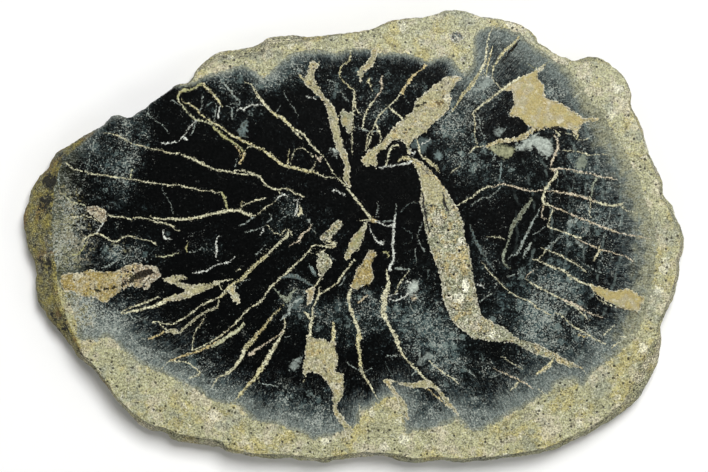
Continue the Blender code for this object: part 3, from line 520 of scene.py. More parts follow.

# filled shapes in the face: sandy fillings, clear chalcedony, and holes or inlets over both, the dark holes
# painted shade; tone and corners
patches = {
    'sand': [
        ('tan', ((-16.6, 49.3), (-15.2, 47.2), (-13.3, 45), (-11, 43.2), (-9, 41), (-8.2, 39), (-7.5, 36.5),
            (-7.2, 34), (-6.4, 31), (-5.4, 28), (-4.3, 25.6), (-3.2, 23.4), (-2.7, 21.6), (-3, 19.5),
            (-3.1, 18), (-2.3, 16.6), (-1.8, 15.6), (-.8, 15.4), (-1, 17.2), (-1.2, 19.5), (-1, 21),
            (-1.5, 23.3), (-2, 25.4), (-2.8, 27), (-3.2, 29), (-3.9, 31.3), (-4.3, 33.8), (-4.6, 36),
            (-5.3, 38.2), (-6.8, 40.3), (-8.4, 42.4), (-9.7, 44.2), (-11, 46.2), (-11.7, 47.8),
            (-11.8, 49.6), (-10.9, 51.4), (-9.9, 52.8), (-10.5, 52.8), (-11.2, 52.5), (-12, 53.7),
            (-12.8, 53), (-13.5, 51.4), (-14, 48.9), (-14.8, 48.3), (-15.7, 49.2))),
        ('greenTan', ((-4.3, 37.5), (-3.2, 38.6), (-2, 38), (-1.2, 37.5), (-.8, 38.3), (-.2, 37.8),
            (-.3, 35), (-.5, 32), (-.9, 30.3), (-1.4, 30.6), (-2.2, 33), (-3.8, 34.5), (-4.2, 35.5),
            (-4, 36.5))),
        ('sand', ((-10.3, .2), (-9.5, 1.2), (-7.5, 3), (-5.8, 4.6), (-5.2, 5.6), (-4, 5.3), (-2.8, 4.6),
            (-3.3, 3.7), (-4.7, 2.6), (-5.2, 1.6), (-6, .9), (-6.8, .6), (-6.6, 0), (-7.3, -.4),
            (-8.2, -.1), (-9, -.5), (-9.8, -.3))),
        ('sand', ((-9.6, -3.6), (-8.2, -4.6), (-6.9, -6.2), (-6.6, -8), (-7.3, -8.6), (-8.4, -10.4),
            (-9.1, -11), (-9.6, -12), (-10.4, -11), (-10.5, -10), (-11.1, -8), (-10.9, -7), (-10.4, -5),
            (-10.7, -4.4))),
        ('pink', ((-14, -15), (-13, -14.8), (-11.4, -14.2), (-11.8, -15.5), (-12.1, -17.5), (-12.9, -19.2),
            (-13.6, -20.2), (-14.2, -20.4), (-13.8, -18.5), (-13.9, -17.5), (-13.6, -16.5),
            (-14.1, -15.8))),
        ('tan', ((-14, -29), (-13, -28.5), (-12.5, -29.5), (-11.5, -30), (-9.5, -30.2), (-8.3, -30.4),
            (-7.2, -31.2), (-6.2, -30.6), (-6.3, -28.5), (-6.2, -26.2), (-5.4, -26.8), (-5.4, -28.5),
            (-5.6, -31), (-5.4, -32.5), (-4.6, -35.5), (-4.8, -37), (-5.2, -38.5), (-5.6, -40.2),
            (-3.8, -40), (-3, -41), (-3.1, -45), (-3.6, -48), (-5.2, -50), (-4.3, -52), (-2.6, -54.6),
            (-.9, -56.7), (0, -58), (-2, -59.5), (-3, -57), (-5.3, -53.5), (-6.3, -51), (-6.2, -49.5),
            (-6.3, -48), (-6.3, -46), (-7.5, -44), (-8.6, -42.2), (-10.3, -40.6), (-12.2, -40),
            (-13.8, -40), (-14.2, -41), (-14.8, -43.3), (-15, -41), (-15, -38), (-14.6, -35), (-14.3, -32),
            (-14.1, -30.3))),
        ('tan', ((-58, -11.5), (-57, -12.2), (-55.5, -11.7), (-53.5, -11), (-51.5, -11), (-50.2, -11.5),
            (-50.1, -12.4), (-51.5, -12.3), (-52.6, -12.5), (-51.5, -13.3), (-49.5, -13.8), (-47, -13.9),
            (-44.5, -13.6), (-42.5, -13.3), (-40.9, -12.7), (-40.2, -13), (-41.2, -14), (-43, -15),
            (-45, -16), (-47.5, -16.9), (-50.5, -17.9), (-53, -18.5), (-55.5, -19), (-57.5, -20),
            (-59.5, -20.8), (-58.6, -19.4), (-57, -18.3), (-54.8, -17.3), (-52, -16.4), (-50, -15.6),
            (-51.5, -14.9), (-53.5, -14.1), (-55.5, -13.2), (-57, -12.6))),
        ('cream', ((-37.6, -14.8), (-36.7, -13.9), (-35.8, -13.5), (-35.4, -14.4), (-35.5, -15.5),
            (-34.3, -17), (-33.9, -18), (-34, -19), (-34.6, -19.7), (-35.4, -19.4), (-36.3, -18),
            (-37.2, -16.8), (-37.9, -15.8))),
        ('rubble', ((-79.8, 9.6), (-78, 9.9), (-76.5, 9.5), (-74.8, 9), (-74.2, 8), (-74.3, 6.5),
            (-73.9, 5.4), (-74.8, 4.8), (-76, 5.1), (-77, 5.9), (-78, 6.9), (-79.2, 7.6), (-80.3, 8.5))),
        ('orange', ((-87.5, -10.8), (-84, -10.4), (-81.5, -10), (-79, -9.5), (-77, -9.9), (-74.5, -10.2),
            (-72, -9.9), (-70, -9.6), (-69.2, -11), (-70.5, -12.6), (-69, -13.8), (-70.2, -15.9),
            (-71, -16.6), (-72.3, -17.4), (-73.2, -18.6), (-74.6, -19.4), (-76, -18.9), (-77.2, -17.8),
            (-78.5, -17.5), (-80.5, -17.6), (-82.5, -17), (-84, -16), (-85.5, -16.2), (-87, -15.5),
            (-88, -13.2), (-88, -12))),
        ('rubble', ((-70, -9.3), (-67.5, -8), (-64.5, -7.2), (-63, -7.9), (-61.5, -8.3), (-59.2, -8.2),
            (-58.5, -9), (-57.7, -11.2), (-58.5, -12), (-60.5, -13.3), (-61.8, -15.6), (-63.5, -14.5),
            (-65, -14.7), (-66.5, -14.3), (-68, -14.8), (-69.5, -15.5), (-70, -13), (-69.5, -11))),
        ('tan', ((5.8, 57.5), (5.2, 55), (4, 52.8), (2.8, 51.8), (1.4, 50.4), (1.2, 49.5), (1.8, 47.6),
            (2.3, 46.5), (2.8, 48.5), (3.3, 49.4), (3.2, 50.2), (5.2, 51.2), (6.2, 52.8), (6.8, 54.6),
            (7.2, 57))),
        ('tan', ((34.4, 50), (33.2, 49.2), (32, 48.7), (29, 48.6), (27.5, 48.3), (26.3, 47.6), (24.2, 46),
            (22, 44), (20.2, 42.5), (18.4, 40.8), (18.5, 39.6), (17.5, 38), (15.5, 36.3), (13.5, 34.8),
            (12.5, 33.7), (10.7, 31.8), (9, 29.8), (7.6, 27.8), (6.5, 27.3), (5.2, 27), (3.8, 25.5),
            (2.8, 24.6), (2.3, 23.4), (2.6, 22.4), (4.3, 21.6), (5.2, 22.2), (7, 21.2), (7.4, 22.2),
            (7, 23.4), (6.8, 24.5), (7.2, 25.7), (9, 26.7), (10.6, 28.3), (11.5, 29.2), (12.8, 29.6),
            (14.6, 29.5), (15.6, 28.4), (16.1, 26.5), (16.6, 25), (17.1, 25.6), (16.9, 27.8), (17.5, 29.3),
            (19.3, 30.5), (21.7, 32), (23.2, 34), (25.2, 35.7), (27.3, 37.5), (28.8, 39.5), (29.3, 42),
            (28.8, 43.2), (30, 45.4), (31.8, 47.6), (34.2, 49.2))),
        ('tan', ((17, 23.8), (18.8, 21.2), (19.9, 18.5), (20.3, 14.5), (20.1, 9.5), (21, 8), (31.3, 8.3),
            (30, 10), (28.7, 12.5), (27.6, 15), (26, 17), (24.2, 18.9), (22.3, 21), (20.3, 23),
            (19.3, 23.6), (18, 24.2))),
        ('sand', ((20.4, 12.6), (20.1, 9.5), (21, 7), (21.2, 4), (22, 1), (22.7, -2), (23.7, -5),
            (24.9, -8), (25.8, -11), (26.5, -14), (26.7, -17), (28.2, -21.5), (29.6, -24.3), (31.2, -26.3),
            (33.6, -28), (35.8, -29.8), (39.5, -30.5), (44.5, -31), (48.5, -31.5), (50.5, -32.8),
            (55, -34.8), (58.5, -35.8), (62, -37.4), (65, -38.8), (66.5, -38.6), (67.6, -39), (68, -38.3),
            (65, -37), (62, -35.2), (59, -33.6), (55.5, -32), (52.5, -31), (50, -30.2), (48, -29),
            (46, -27.2), (42.5, -25.5), (40, -24), (37.8, -22.3), (37.8, -21), (37.2, -18), (36.4, -15),
            (36, -12), (35.7, -9), (35.2, -6), (34.8, -4.8), (34.9, -3.6), (33.7, -1), (33.2, 2), (32.9, 5),
            (31.6, 7.8), (30, 10), (28.7, 12.5))),
        ('yellow', ((44.3, 44.9), (45.8, 45.8), (48.6, 47.6), (51.3, 48.9), (53.8, 50), (55, 50.5),
            (57.2, 52.5), (57.8, 52.2), (57, 51), (55, 49.3), (55.2, 48.3), (57, 46.3), (57.4, 45.2),
            (57, 43), (57.8, 42.2), (60.5, 41.2), (63.5, 40), (65.8, 38.3), (68.2, 36.6), (69.6, 36),
            (71, 36.2), (74, 36), (73, 35.2), (69.5, 34.8), (67.8, 33), (66.8, 31), (66.3, 30.7),
            (65.6, 32.6), (64.5, 33), (61.5, 33.2), (58.5, 33.2), (55.5, 33), (54.2, 33), (53, 33.4),
            (51.3, 34.6), (50.6, 35.6), (49.6, 36.3), (47.3, 36.7), (46.5, 37.3), (47.5, 39), (48.2, 40),
            (47.8, 42.6), (48, 43.8), (47.2, 44.5), (46, 44.3), (44.5, 44.5))),
        ('yellow', ((57, 33.6), (54, 33.2), (52.5, 32.2), (50, 30.9), (47, 30), (44, 29.7), (41.2, 28.8),
            (38.8, 27.8), (37.5, 27.6), (38.8, 27.2), (41, 27.6), (44, 28.7), (48, 29), (50.8, 29.6),
            (53, 31), (54.5, 32.2), (57, 32.8))),
        ('yellow', ((70.5, -13.7), (73.5, -14.3), (76.5, -15.3), (79.3, -15.6), (81.5, -15.1),
            (83.8, -15.8), (86, -17), (87.2, -17.8), (86.8, -19), (86.2, -20), (86.4, -21.2), (85.6, -22),
            (83.5, -21.4), (80.5, -21), (77.8, -19.8), (75.3, -18.4), (73.3, -16.8), (71.4, -14.9))),
        ('olive', ((4.3, 5.2), (3.3, 4.5), (1.2, 2.2), (-.6, 0), (-1.3, -1.5), (-2.4, -4.5), (-2.6, -6.2),
            (-1.8, -6.9), (-1, -6.3), (-.9, -5), (-.2, -4), (1.7, -3.2), (2.3, -2), (2.7, -.5), (3.6, 2.5),
            (4.2, 4))),
        ('orange', ((5, -3.4), (6.8, -4.2), (6.7, -5.3), (5.9, -6.3), (5.5, -7.5), (6, -10.5), (5.9, -12),
            (4.6, -14), (3.6, -13.8), (2.6, -14.4), (1.6, -15.3), (-.2, -15.2), (-.9, -14.5), (.1, -12),
            (.8, -9.3), (2.6, -7.3), (3.9, -5), (4.4, -4.2))),
        ('tan', ((8.7, -42.2), (10.6, -42.2), (13.5, -43), (16.5, -43.4), (19.3, -42.9), (21.5, -42.2),
            (23.6, -43.2), (25.5, -45.2), (27.4, -47.2), (29.2, -49.4), (30.8, -51.1), (31.8, -52.8),
            (31.4, -53.8), (30.3, -52.1), (28.2, -50.3), (26.9, -48.4), (25.5, -46.3), (23.5, -44.8),
            (22.3, -44.4), (21.5, -45), (18.8, -44.8), (15.8, -44.5), (13, -43.5), (10.9, -43.1),
            (12.4, -45.2), (14.7, -48.1), (16.2, -50.5), (16.4, -52.8), (17, -54), (16.4, -54.6),
            (15, -52.9), (13.8, -50.5), (12.9, -47.6), (10.8, -45.4), (9.2, -42.8))),
        ('tan', ((-55.9, -27.6), (-53.6, -26.8), (-52.9, -27.6), (-52.3, -28.7), (-53.8, -28.7),
            (-55.2, -28.3), (-56.7, -28.1))),
        ('dim', ((30.5, 62.2), (31.9, 62.2), (33, 61), (32.6, 59.4), (31.2, 58.5), (29.5, 59), (28.7, 60.6),
            (29.3, 61.8))),
        ('dim', ((32.4, 54.6), (33.7, 54.3), (33.9, 53.2), (32.9, 52.7), (32, 53.4))),
        ('sand', ((60, -36.4), (58.5, -37.3), (56.5, -38.9), (54.6, -40.6), (55.3, -40.8), (57.2, -40),
            (59.2, -38.6)))],
    'clear': [
        ('blueWhite', ((-6.9, 26.2), (-6.3, 27.2), (-5.3, 26.8), (-4.8, 25.3), (-5.2, 24.4), (-6, 24.8))),
        ('dim', ((-6.5, 43), (-5.8, 45), (-5, 44), (-5, 42), (-6, 41.5))),
        ('mist', ((-34.5, 33), (-33.5, 34.5), (-32, 35.3), (-31.8, 34.5), (-32.2, 31.5), (-32.6, 30.4),
            (-33.8, 30.8))),
        ('ash', ((-19.2, -38.8), (-18.8, -37.5), (-17, -36), (-15.7, -35.2), (-15.5, -37), (-16.2, -38.5),
            (-17.5, -39.4))),
        ('dim', ((17, 28.5), (18, 29.3), (20.5, 30.3), (21.6, 30.8), (22.8, 30), (23.3, 29), (22.6, 27.8),
            (21, 25.6), (20, 26), (19, 27), (17.5, 27))),
        ('mist', ((24.2, 24.5), (25.2, 26.5), (26.8, 23.9), (25.8, 23.6))),
        ('ash', ((36, 44.5), (38, 46.8), (39, 48), (40.5, 48.5), (42, 48), (42.3, 47), (40, 45.4),
            (37.6, 44.3))),
        ('blueWhite', ((48.5, 27.5), (51.2, 29.2), (53.4, 31), (54.4, 31.6), (57, 30.3), (59.4, 29),
            (59.9, 27.8), (59.5, 25.3), (58.7, 24.6), (57.4, 24.3), (55.7, 26), (54, 27.6), (53.2, 26.8),
            (52.2, 27.3), (50, 26.3), (49, 26.6))),
        ('greenTan', ((48.4, 27), (47.8, 25.5), (45.5, 24), (44, 24.6), (42.2, 25.8), (40.8, 27.5),
            (43.3, 28.4), (44.4, 28.5), (46.5, 27.9))),
        ('ashOlive', ((66.3, 22), (67.8, 24.4), (68.8, 25), (69.8, 24.8), (70.2, 23.8), (69.8, 22.6),
            (70.1, 21.5), (69.8, 20.4), (68.8, 20.5), (66.8, 21.3))),
        ('ash', ((64, 4.2), (65, 5.6), (65.9, 5.6), (66.9, 6.2), (67.3, 5.4), (66.2, 4), (65, 3.6))),
        ('ash', ((66.6, -.5), (67.8, -.9), (68.9, -2), (68.2, -2.7), (67.2, -1.9))),
        ('blueWhite', ((16.2, -15), (16.4, -13.9), (17.6, -12.8), (19.4, -13.2), (19.6, -14.4),
            (19.2, -15.6), (18.2, -16.3), (17.4, -17.2), (16.7, -16.6))),
        ('pink', ((17.4, -17.5), (18.4, -17), (19, -17.6), (18.4, -18.5), (17.6, -18.4))),
        ('ash', ((23.6, -33.7), (21.3, -35.2), (19.2, -36.3), (19.3, -37.7), (20, -38.3), (21.3, -36.4),
            (23.2, -35.8))),
        ('ash', ((42, 33.2), (42.4, 31.4), (43.5, 30.9), (44.4, 31.8), (44.9, 33), (43.4, 33.4))),
        ('dim', ((-19, -20.5), (-18, -18), (-16.5, -17.3), (-15, -18), (-15.6, -19.6), (-17.4, -20.8))),
        ('dim', ((-56.4, 1.6), (-55.8, 1.9), (-55.2, 1.2), (-55.8, .6)))],
    'hole': [
        ('dark', ((-71, -14.2), (-69.5, -13.6), (-68, -12.5), (-65.8, -10.7), (-63, -9.6), (-60, -9.4),
            (-60, -10.2), (-62.2, -11.6), (-65, -12.4), (-68, -13.6), (-69.5, -14.6))),
        ('dark', ((-78, -15.4), (-76.5, -15.4), (-73, -14.7), (-69.7, -14.4), (-69.7, -14.9), (-73, -15.2),
            (-76.5, -16.1))),
        ('dark', ((18.2, 39.9), (20.5, 40.7), (22.8, 41.4), (21.5, 40.4), (18.8, 39.5))),
        ('dark', ((57.8, 33.4), (59, 33.3), (61.5, 33.5), (63.5, 32.5), (66, 32.5), (66.6, 33.1),
            (65.5, 31.8), (63.2, 31.9), (61.5, 32.4), (59.4, 32.6))),
        ('dark', ((42.3, 26.6), (43.6, 26.9), (45, 27.8), (44.2, 28), (42.8, 27.3))),
        ('dark', ((45.2, 28), (46.8, 28.2), (46.6, 28.6), (45.4, 28.5))),
        ('rust', ((24.6, 41.8), (25.1, 40.3), (26, 39.2), (26.5, 39.1), (25.5, 40.6), (25, 41.9))),
        ('rust', ((26, 41.3), (26.8, 39.8), (27.6, 39.3), (27.2, 40.4), (26.5, 41.2)))]}

# the edge of the wood; past it the slice is sandstone
woodEdge = ((-92, 20), (-92, 0), (-91, -8), (-89, -12), (-86, -18), (-84, -22), (-83, -27), (-83, -29.5),
    (-81, -31), (-79, -30), (-77, -31), (-75.5, -29.5), (-73, -29.8), (-71, -31.5), (-69.5, -33.5),
    (-67, -34.8), (-65, -36.7), (-62, -38.3), (-60, -39.3), (-57, -40.5), (-53, -42.5), (-50, -44),
    (-46, -46), (-43.5, -48), (-40, -49.3), (-36.5, -49.3), (-34, -50.5), (-32, -52.5), (-30, -54.7),
    (-27, -55.2), (-23, -55.5), (-20, -56.8), (-17, -58), (-14, -59), (-12, -60.5), (-10, -59.5),
    (-7, -59.5), (-5, -58.5), (-1.2, -57.1), (.6, -56.2), (1.7, -55.4), (2.4, -51.8), (4.3, -51.3),
    (6.4, -49.8), (8.3, -48.5), (9.7, -47.6), (11.9, -47.4), (13.7, -48), (14.8, -50.2), (15, -52.7),
    (15.2, -55.2), (15.8, -58.2), (18.4, -57.8), (21.3, -57.6), (24.2, -57.1), (26.8, -56), (29, -55.6),
    (30.8, -53.8), (32.2, -55.2), (34.4, -57.1), (36.6, -58), (38.8, -57.4), (40.6, -56), (43.2, -55.2),
    (45.3, -53.8), (47.5, -52.3), (50, -51.2), (52.3, -49.6), (54.5, -48.5), (56.3, -47.3), (58.5, -46.2),
    (59.6, -45.4), (60.7, -43.3), (62.9, -42.5), (65.8, -42.2), (67.2, -42.5), (67.6, -44.3), (69.1, -44),
    (70.2, -42), (72, -40), (76, -37), (79, -35), (82, -32), (84.5, -29.5), (86.5, -25), (88, -21.5),
    (89.5, -15), (90.5, -8), (91, -3), (90.5, 2), (89, 7), (87.5, 12), (86, 17), (84, 21), (82, 25),
    (79.8, 29), (77.5, 33), (76, 35.5), (74.5, 38), (71.5, 40.5), (70, 43.5), (67.5, 46.5), (66, 49),
    (64.5, 51), (61, 53), (58, 55.5), (55, 57), (52, 59.5), (49.5, 61.5), (46.5, 62.8), (43, 63.5),
    (39.5, 63.3), (37, 62), (36, 59), (36, 55), (35.5, 51.5), (34, 49.7), (32, 50.3), (31, 52.3),
    (29, 54.2), (25, 54.3), (22, 53.2), (18, 55), (13, 55.8), (8, 55.6), (5.5, 56.8), (2, 57), (-2, 56.6),
    (-5, 55.5), (-9, 56.5), (-13, 56.3), (-17, 56), (-20, 54.5), (-22.5, 52.5), (-25, 50), (-27, 48.5),
    (-28.5, 49.5), (-31, 51.5), (-35, 52), (-38, 50.5), (-44, 49), (-48, 47), (-50, 46.3), (-53.5, 46.2),
    (-56, 46), (-62, 42), (-68, 38.5), (-74, 38), (-80, 33), (-86, 29), (-91, 25))

# how far the grey weathering reaches in from that edge, by the direction from the middle in degrees
greyReach = (
    (-180, 12), (-160, 12), (-145, 10), (-125, 8), (-100, 11), (-85, 4), (-70, 8), (-55, 11), (-40, 12),
    (-25, 10), (-10, 13), (0, 14), (30, 12), (50, 14), (63, 3), (90, 2.5), (110, 5), (120, 4), (140, 1),
    (160, 6), (180, 12))

# soft round areas: x, y, radius and strength. lace is broken pale filigree, crust is sand among the wood, and
# the last marks recesses in the broken side where shade is painted
lace = (
    (-70, 22, 8, .5), (-65, 32, 6, .45), (-78, 27, 7, .35), (-70, 12, 7, .3), (-72, -5, 4, .6),
    (-62, -3, 6, .35), (-75, -25, 8, .6), (-60, -35, 7, .5), (-50, -40, 6, .45), (-38, -46, 6, .4),
    (-42, -3, 6, .35), (-37, 48, 6, .5), (-25, 48, 5, .6), (-17, 51, 5, .5), (-40, 38, 6, .35),
    (-31, 38, 4, .3), (-6, 45, 5, .4), (2, 48, 5, .25), (10, 46, 8, .35), (20, 46, 6, .3), (8, 37, 5, .45),
    (30, 38, 7, .4), (38, 45, 4, .7), (32, 25, 8, .45), (28, 32, 5, .4), (40, 20, 8, .3), (50, 20, 8, .35),
    (-8, 8, 8, .2), (-18, 10, 5, .4), (-24, 4, 6, .35), (-18, -18, 6, .5), (-10, -25, 6, .5), (-4, -20, 6, .45),
    (0, -28, 4, .4), (7, -20, 6, .4), (16, -25, 8, .7), (24, -28, 8, .6), (20, -15, 6, .3), (30, -38, 8, .45),
    (28, -33, 6, .5), (45, -20, 10, .45), (52, -25, 8, .5), (40, -5, 5, .4), (60, -12, 8, .6), (66, -16, 6, .7),
    (56, -24, 6, .6), (60, -30, 8, .4), (72, -30, 6, .5), (68, 22, 5, .6), (70, 15, 8, .35), (66, 3, 6, .5),
    (72, 5, 6, .4), (78, 8, 6, .4), (78, -8, 6, .3), (-20, -50, 8, .5), (-10, -55, 6, .6), (22, -53, 6, .6),
    (36, -52, 6, .6), (60, 44, 4, .5), (-55, 18, 9, -.35), (-33, 26, 8, -.3), (10, 13, 8, -.5),
    (-36, -6, 9, -.35), (-46, -12, 8, -.3), (-4, 12, 7, -.3), (-8, -14, 5, -.3))
crust = (
    (-86, 12, 5, .5), (-86, 3, 6, .8), (-84, -3, 6, .6), (-88, -5, 4, .7), (-86, -20, 6, .8), (-82, -23, 6, .5),
    (-70, -3, 3, .5), (87, 2, 4, .35), (85, -26, 4, .4))
shadedHollows = ((-92.5, 10, 3.6, 1), (-91, 17, 2.4, .8), (-94, 2, 2, .5), (-92, -8, 2.2, .5), (-86, -26, 2.4, .6))

slabLook = {
    'topCell': .68,         # millimetres between the points of the polished face
    'underCell': 1.5,
    'rimGap': .45,          # how far inside the rim the even grid stops
    'grow': 1.,             # how far the broken edge stands out past the plain part
    'leftRim': (-86, -76),  # from the first x to the second the polished face grows from nothing to its full
    'coarse': (.5, 4.2),    # depth and size of the lumps on the broken edge
    'fine': (.3, 1.15),
    'calm': .9,             # the lumps fade out this near to the two faces
    'clear': .05,           # and stay this far off them
    'nick': (.32, 1.5),     # how much the rim wanders in the plane, and the size of its waves
    'same': 1e-6}           # metres within which two heights or points are the same


def rimDistance(points, corners):
    # signed distance to a closed outline, positive inside
    nearest = np.full(len(points), 1e9)
    inside = np.zeros(len(points), bool)
    for start, end in zip(corners, np.roll(corners, -1, axis=0)):
        along = end - start
        share = ((points - start) @ along / max(along @ along, 1e-12)).clip(0, 1)
        gap = points - start - share[:, None] * along
        nearest = np.minimum(nearest, (gap * gap).sum(axis=1))
        crosses = (start[1] > points[:, 1]) != (end[1] > points[:, 1])
        rise = along[1] if along[1] else 1e-12
        inside ^= crosses & (points[:, 0] < start[0] + (points[:, 1] - start[1]) * along[0] / rise)
    return np.where(inside, 1, -1) * np.sqrt(nearest)


def heightIs(vert, level):
    return abs(vert.co.z - level) < slabLook['same']


def rimLoop(bm, level):
    # the open edges at this height, and their points in order round the rim
    edges = [e for e in bm.edges if len(e.link_faces) == 1 and all(heightIs(v, level) for v in e.verts)]
    ordered = [edges[0].verts[0], edges[0].verts[1]]
    links = {}
    for edge in edges:
        for vert in edge.verts:
            links.setdefault(vert, []).append(edge)
    last = edges[0]
    while True:
        last = next(e for e in links[ordered[-1]] if e is not last)
        following = last.other_vert(ordered[-1])
        if following is ordered[0]:
            break
        ordered.append(following)
    return edges, ordered


def fillFlat(bm, level, cell, facing):
    # an even grid trimmed to the rim, then joined to it
    rimEdges, rim = rimLoop(bm, level)
    corners = np.array([v.co.xy for v in rim])
    low, high = corners.min(axis=0), corners.max(axis=0)
    half = (high - low) / 2
    middle = (high + low) / 2
    placed = bmesh.ops.create_grid(
        bm, x_segments=int(2 * half[0] / (cell * mm)), y_segments=int(2 * half[1] / (cell * mm)), size=1,
        matrix=Matrix.Translation((*middle, level)) @ Matrix.Diagonal((*half, 1, 1)))
    grid = placed['verts']
    room = rimDistance(np.array([v.co.xy for v in grid]), corners)
    cut = [v for v, gap in zip(grid, room) if gap < slabLook['rimGap'] * mm]
    kept = set(grid) - set(cut)
    bmesh.ops.delete(bm, geom=cut, context='VERTS')
    while True:
        # points left hanging, or where two open corners touch
        loose = [v for v in kept if sum(len(e.link_faces) < 2 for e in v.link_edges) > 2 or not v.link_faces
                 or any(not e.link_faces for e in v.link_edges)]
        if not loose:
            break
        kept -= set(loose)
        bmesh.ops.delete(bm, geom=loose, context='VERTS')
    gridEdges = [e for e in bm.edges if len(e.link_faces) == 1 and e.verts[0] in kept and e.verts[1] in kept]
    bmesh.ops.triangle_fill(bm, use_beauty=True, edges=rimEdges + gridEdges, normal=facing)


def buildSlab():
    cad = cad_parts['petrified_wood_slice']
    bm = bmesh.new()
    bm.from_mesh(cad.data)
    bmesh.ops.remove_doubles(bm, verts=bm.verts, dist=slabLook['same'])
    top = max(v.co.z for v in bm.verts)
    under = min(v.co.z for v in bm.verts)
    caps = [f for f in bm.faces if any(all(heightIs(v, level) for v in f.verts) for level in (top, under))]
    bmesh.ops.delete(bm, geom=caps, context='FACES')
    bmesh.ops.subdivide_edges(bm, edges=bm.edges[:], cuts=2, use_grid_fill=True)
    side = [v for v in bm.verts if not heightIs(v, top) and not heightIs(v, under)]
    for _ in range(2):
        bmesh.ops.smooth_vert(bm, verts=side, factor=.5, use_axis_x=True, use_axis_y=True, use_axis_z=True)
    bmesh.ops.recalc_face_normals(bm, faces=bm.faces)
    bm.normal_update()
    nick, nickSize = slabLook['nick']
    coarse, coarseSize = slabLook['coarse']
    fine, fineSize = slabLook['fine']
    keeps, grows = slabLook['leftRim']
    moves = []
    for vert in bm.verts:
        place = vert.co / mm
        grow = slabLook['grow']
        if heightIs(vert, top):
            # where the left side leans out, the polished face keeps its own rim
            grow *= min(1, max(0, (place.x - keeps) / (grows - keeps)))
        if heightIs(vert, top) or heightIs(vert, under):
            push = grow + nick * noise.noise(place / nickSize)
            way = Vector((vert.normal.x, vert.normal.y, 0)).normalized()
        else:
            push = coarse * noise.noise(place / coarseSize) + fine * noise.noise(place / fineSize)
            near = min(top - vert.co.z, vert.co.z - under) / mm
            push = grow + push * min(1, near / slabLook['calm'])
            way = vert.normal.copy()
        moves.append((vert, way * push * mm))
    for vert, move in moves:
        vert.co += move
    for vert in side:
        vert.co.z = min(max(vert.co.z, under + slabLook['clear'] * mm), top - slabLook['clear'] * mm)
    fillFlat(bm, top, slabLook['topCell'], (0, 0, 1))
    fillFlat(bm, under, slabLook['underCell'], (0, 0, -1))
    bmesh.ops.triangulate(bm, faces=bm.faces[:])
    bmesh.ops.recalc_face_normals(bm, faces=bm.faces)
    bm.normal_update()
    for face in bm.faces:
        face.smooth = True
        face.material_index = 1
        if all(heightIs(v, top) for v in face.verts):
            face.material_index = 0
        elif all(heightIs(v, under) for v in face.verts):
            face.material_index = 2
    for edge in bm.edges:
        if len({f.material_index for f in edge.link_faces}) > 1:
            edge.smooth = False
    openEdges = sum(len(e.link_faces) != 2 for e in bm.edges)
    print('slab:', len(bm.faces), 'faces,', openEdges, 'edges not shared by two')
    mesh = bpy.data.meshes.new('petrifiedWoodSlice')
    bm.to_mesh(mesh)
    bm.free()
    return mesh


def curveThrough(points, closed=False, step=.6):
    # an even Catmull-Rom route through the points, with the share of the way that each new point is at
    points = np.array(points, float)
    count = len(points)
    if count == 2 and not closed:
        return points, np.array([0., 1.])
    spans = count if closed else count - 1
    made, share = [], []
    for i in range(spans):
        a, b = points[i], points[(i + 1) % count]
        before = points[(i - 1) % count] if closed else points[max(i - 1, 0)]
        after = points[(i + 2) % count] if closed else points[min(i + 2, count - 1)]
        pieces = max(1, int(np.linalg.norm(b - a) / step))
        for k in range(pieces):
            t = k / pieces
            made.append(.5 * (2 * a + (b - before) * t + (2 * before - 5 * a + 4 * b - after) * t * t
                              + (3 * a - before - 3 * b + after) * t ** 3))
            share.append((i + t) / spans)
    if not closed:
        made.append(points[-1])
        share.append(1.)
    return np.array(made), np.array(share)


def linear(tone):
    return tuple((c / 255 / 12.92) if c <= 10 else ((c / 255 + .055) / 1.055) ** 2.4 for c in tone)


seamLook = {
    'layers': 4,    # the seams are kept in this many sets of attributes
    'apart': 2.2,   # millimetres that the seams of one layer keep apart, where they can
    'reach': 3,     # how far past its rim a seam is told to the face around it
    'far': 6.,      # stands for nothing near
    'wander': .62,  # how much of the drift below the seams follow
    # how sandy each mineral is
    'sandy': {'tan': 1, 'sand': 1, 'orange': 1, 'ochre': .9, 'yellow': .9, 'pink': .8, 'cream': .6, 'olive': .5,
              'greenCream': .5, 'dark': 0, 'rust': 0},
    'plain': .15}   # and the ones that aren't in that list


def sortSeams():
    # each seam goes to the layer whose seams keep furthest from it, so that two seldom mix
    layers = [[] for _ in range(seamLook['layers'])]
    spots = [np.zeros((0, 2)) for _ in layers]
    for group in seams.values():
        for seam in group:
            tone, widths, route = seam[:3]
            hollow = seam[3] if len(seam) > 3 else 0
            path, share = curveThrough(route)
            half = np.interp(share, np.linspace(0, 1, len(widths)), widths) / 2
            room = [np.sqrt(((path[:, None] - others[None]) ** 2).sum(axis=2)).min() if len(others) else 99
                    for others in spots]
            best = next((k for k, gap in enumerate(room) if gap > seamLook['apart']), int(np.argmax(room)))
            sandy = seamLook['sandy'].get(tone, seamLook['plain'])
            layers[best].append((path, half, linear(tones[tone]), hollow, sandy))
            spots[best] = np.vstack((spots[best], path))
    return layers


def store(mesh, name, kind, values):
    made = mesh.attributes.new(name, kind, 'POINT')
    made.data.foreach_set('vector' if kind == 'FLOAT_VECTOR' else 'value', np.ascontiguousarray(values).ravel())


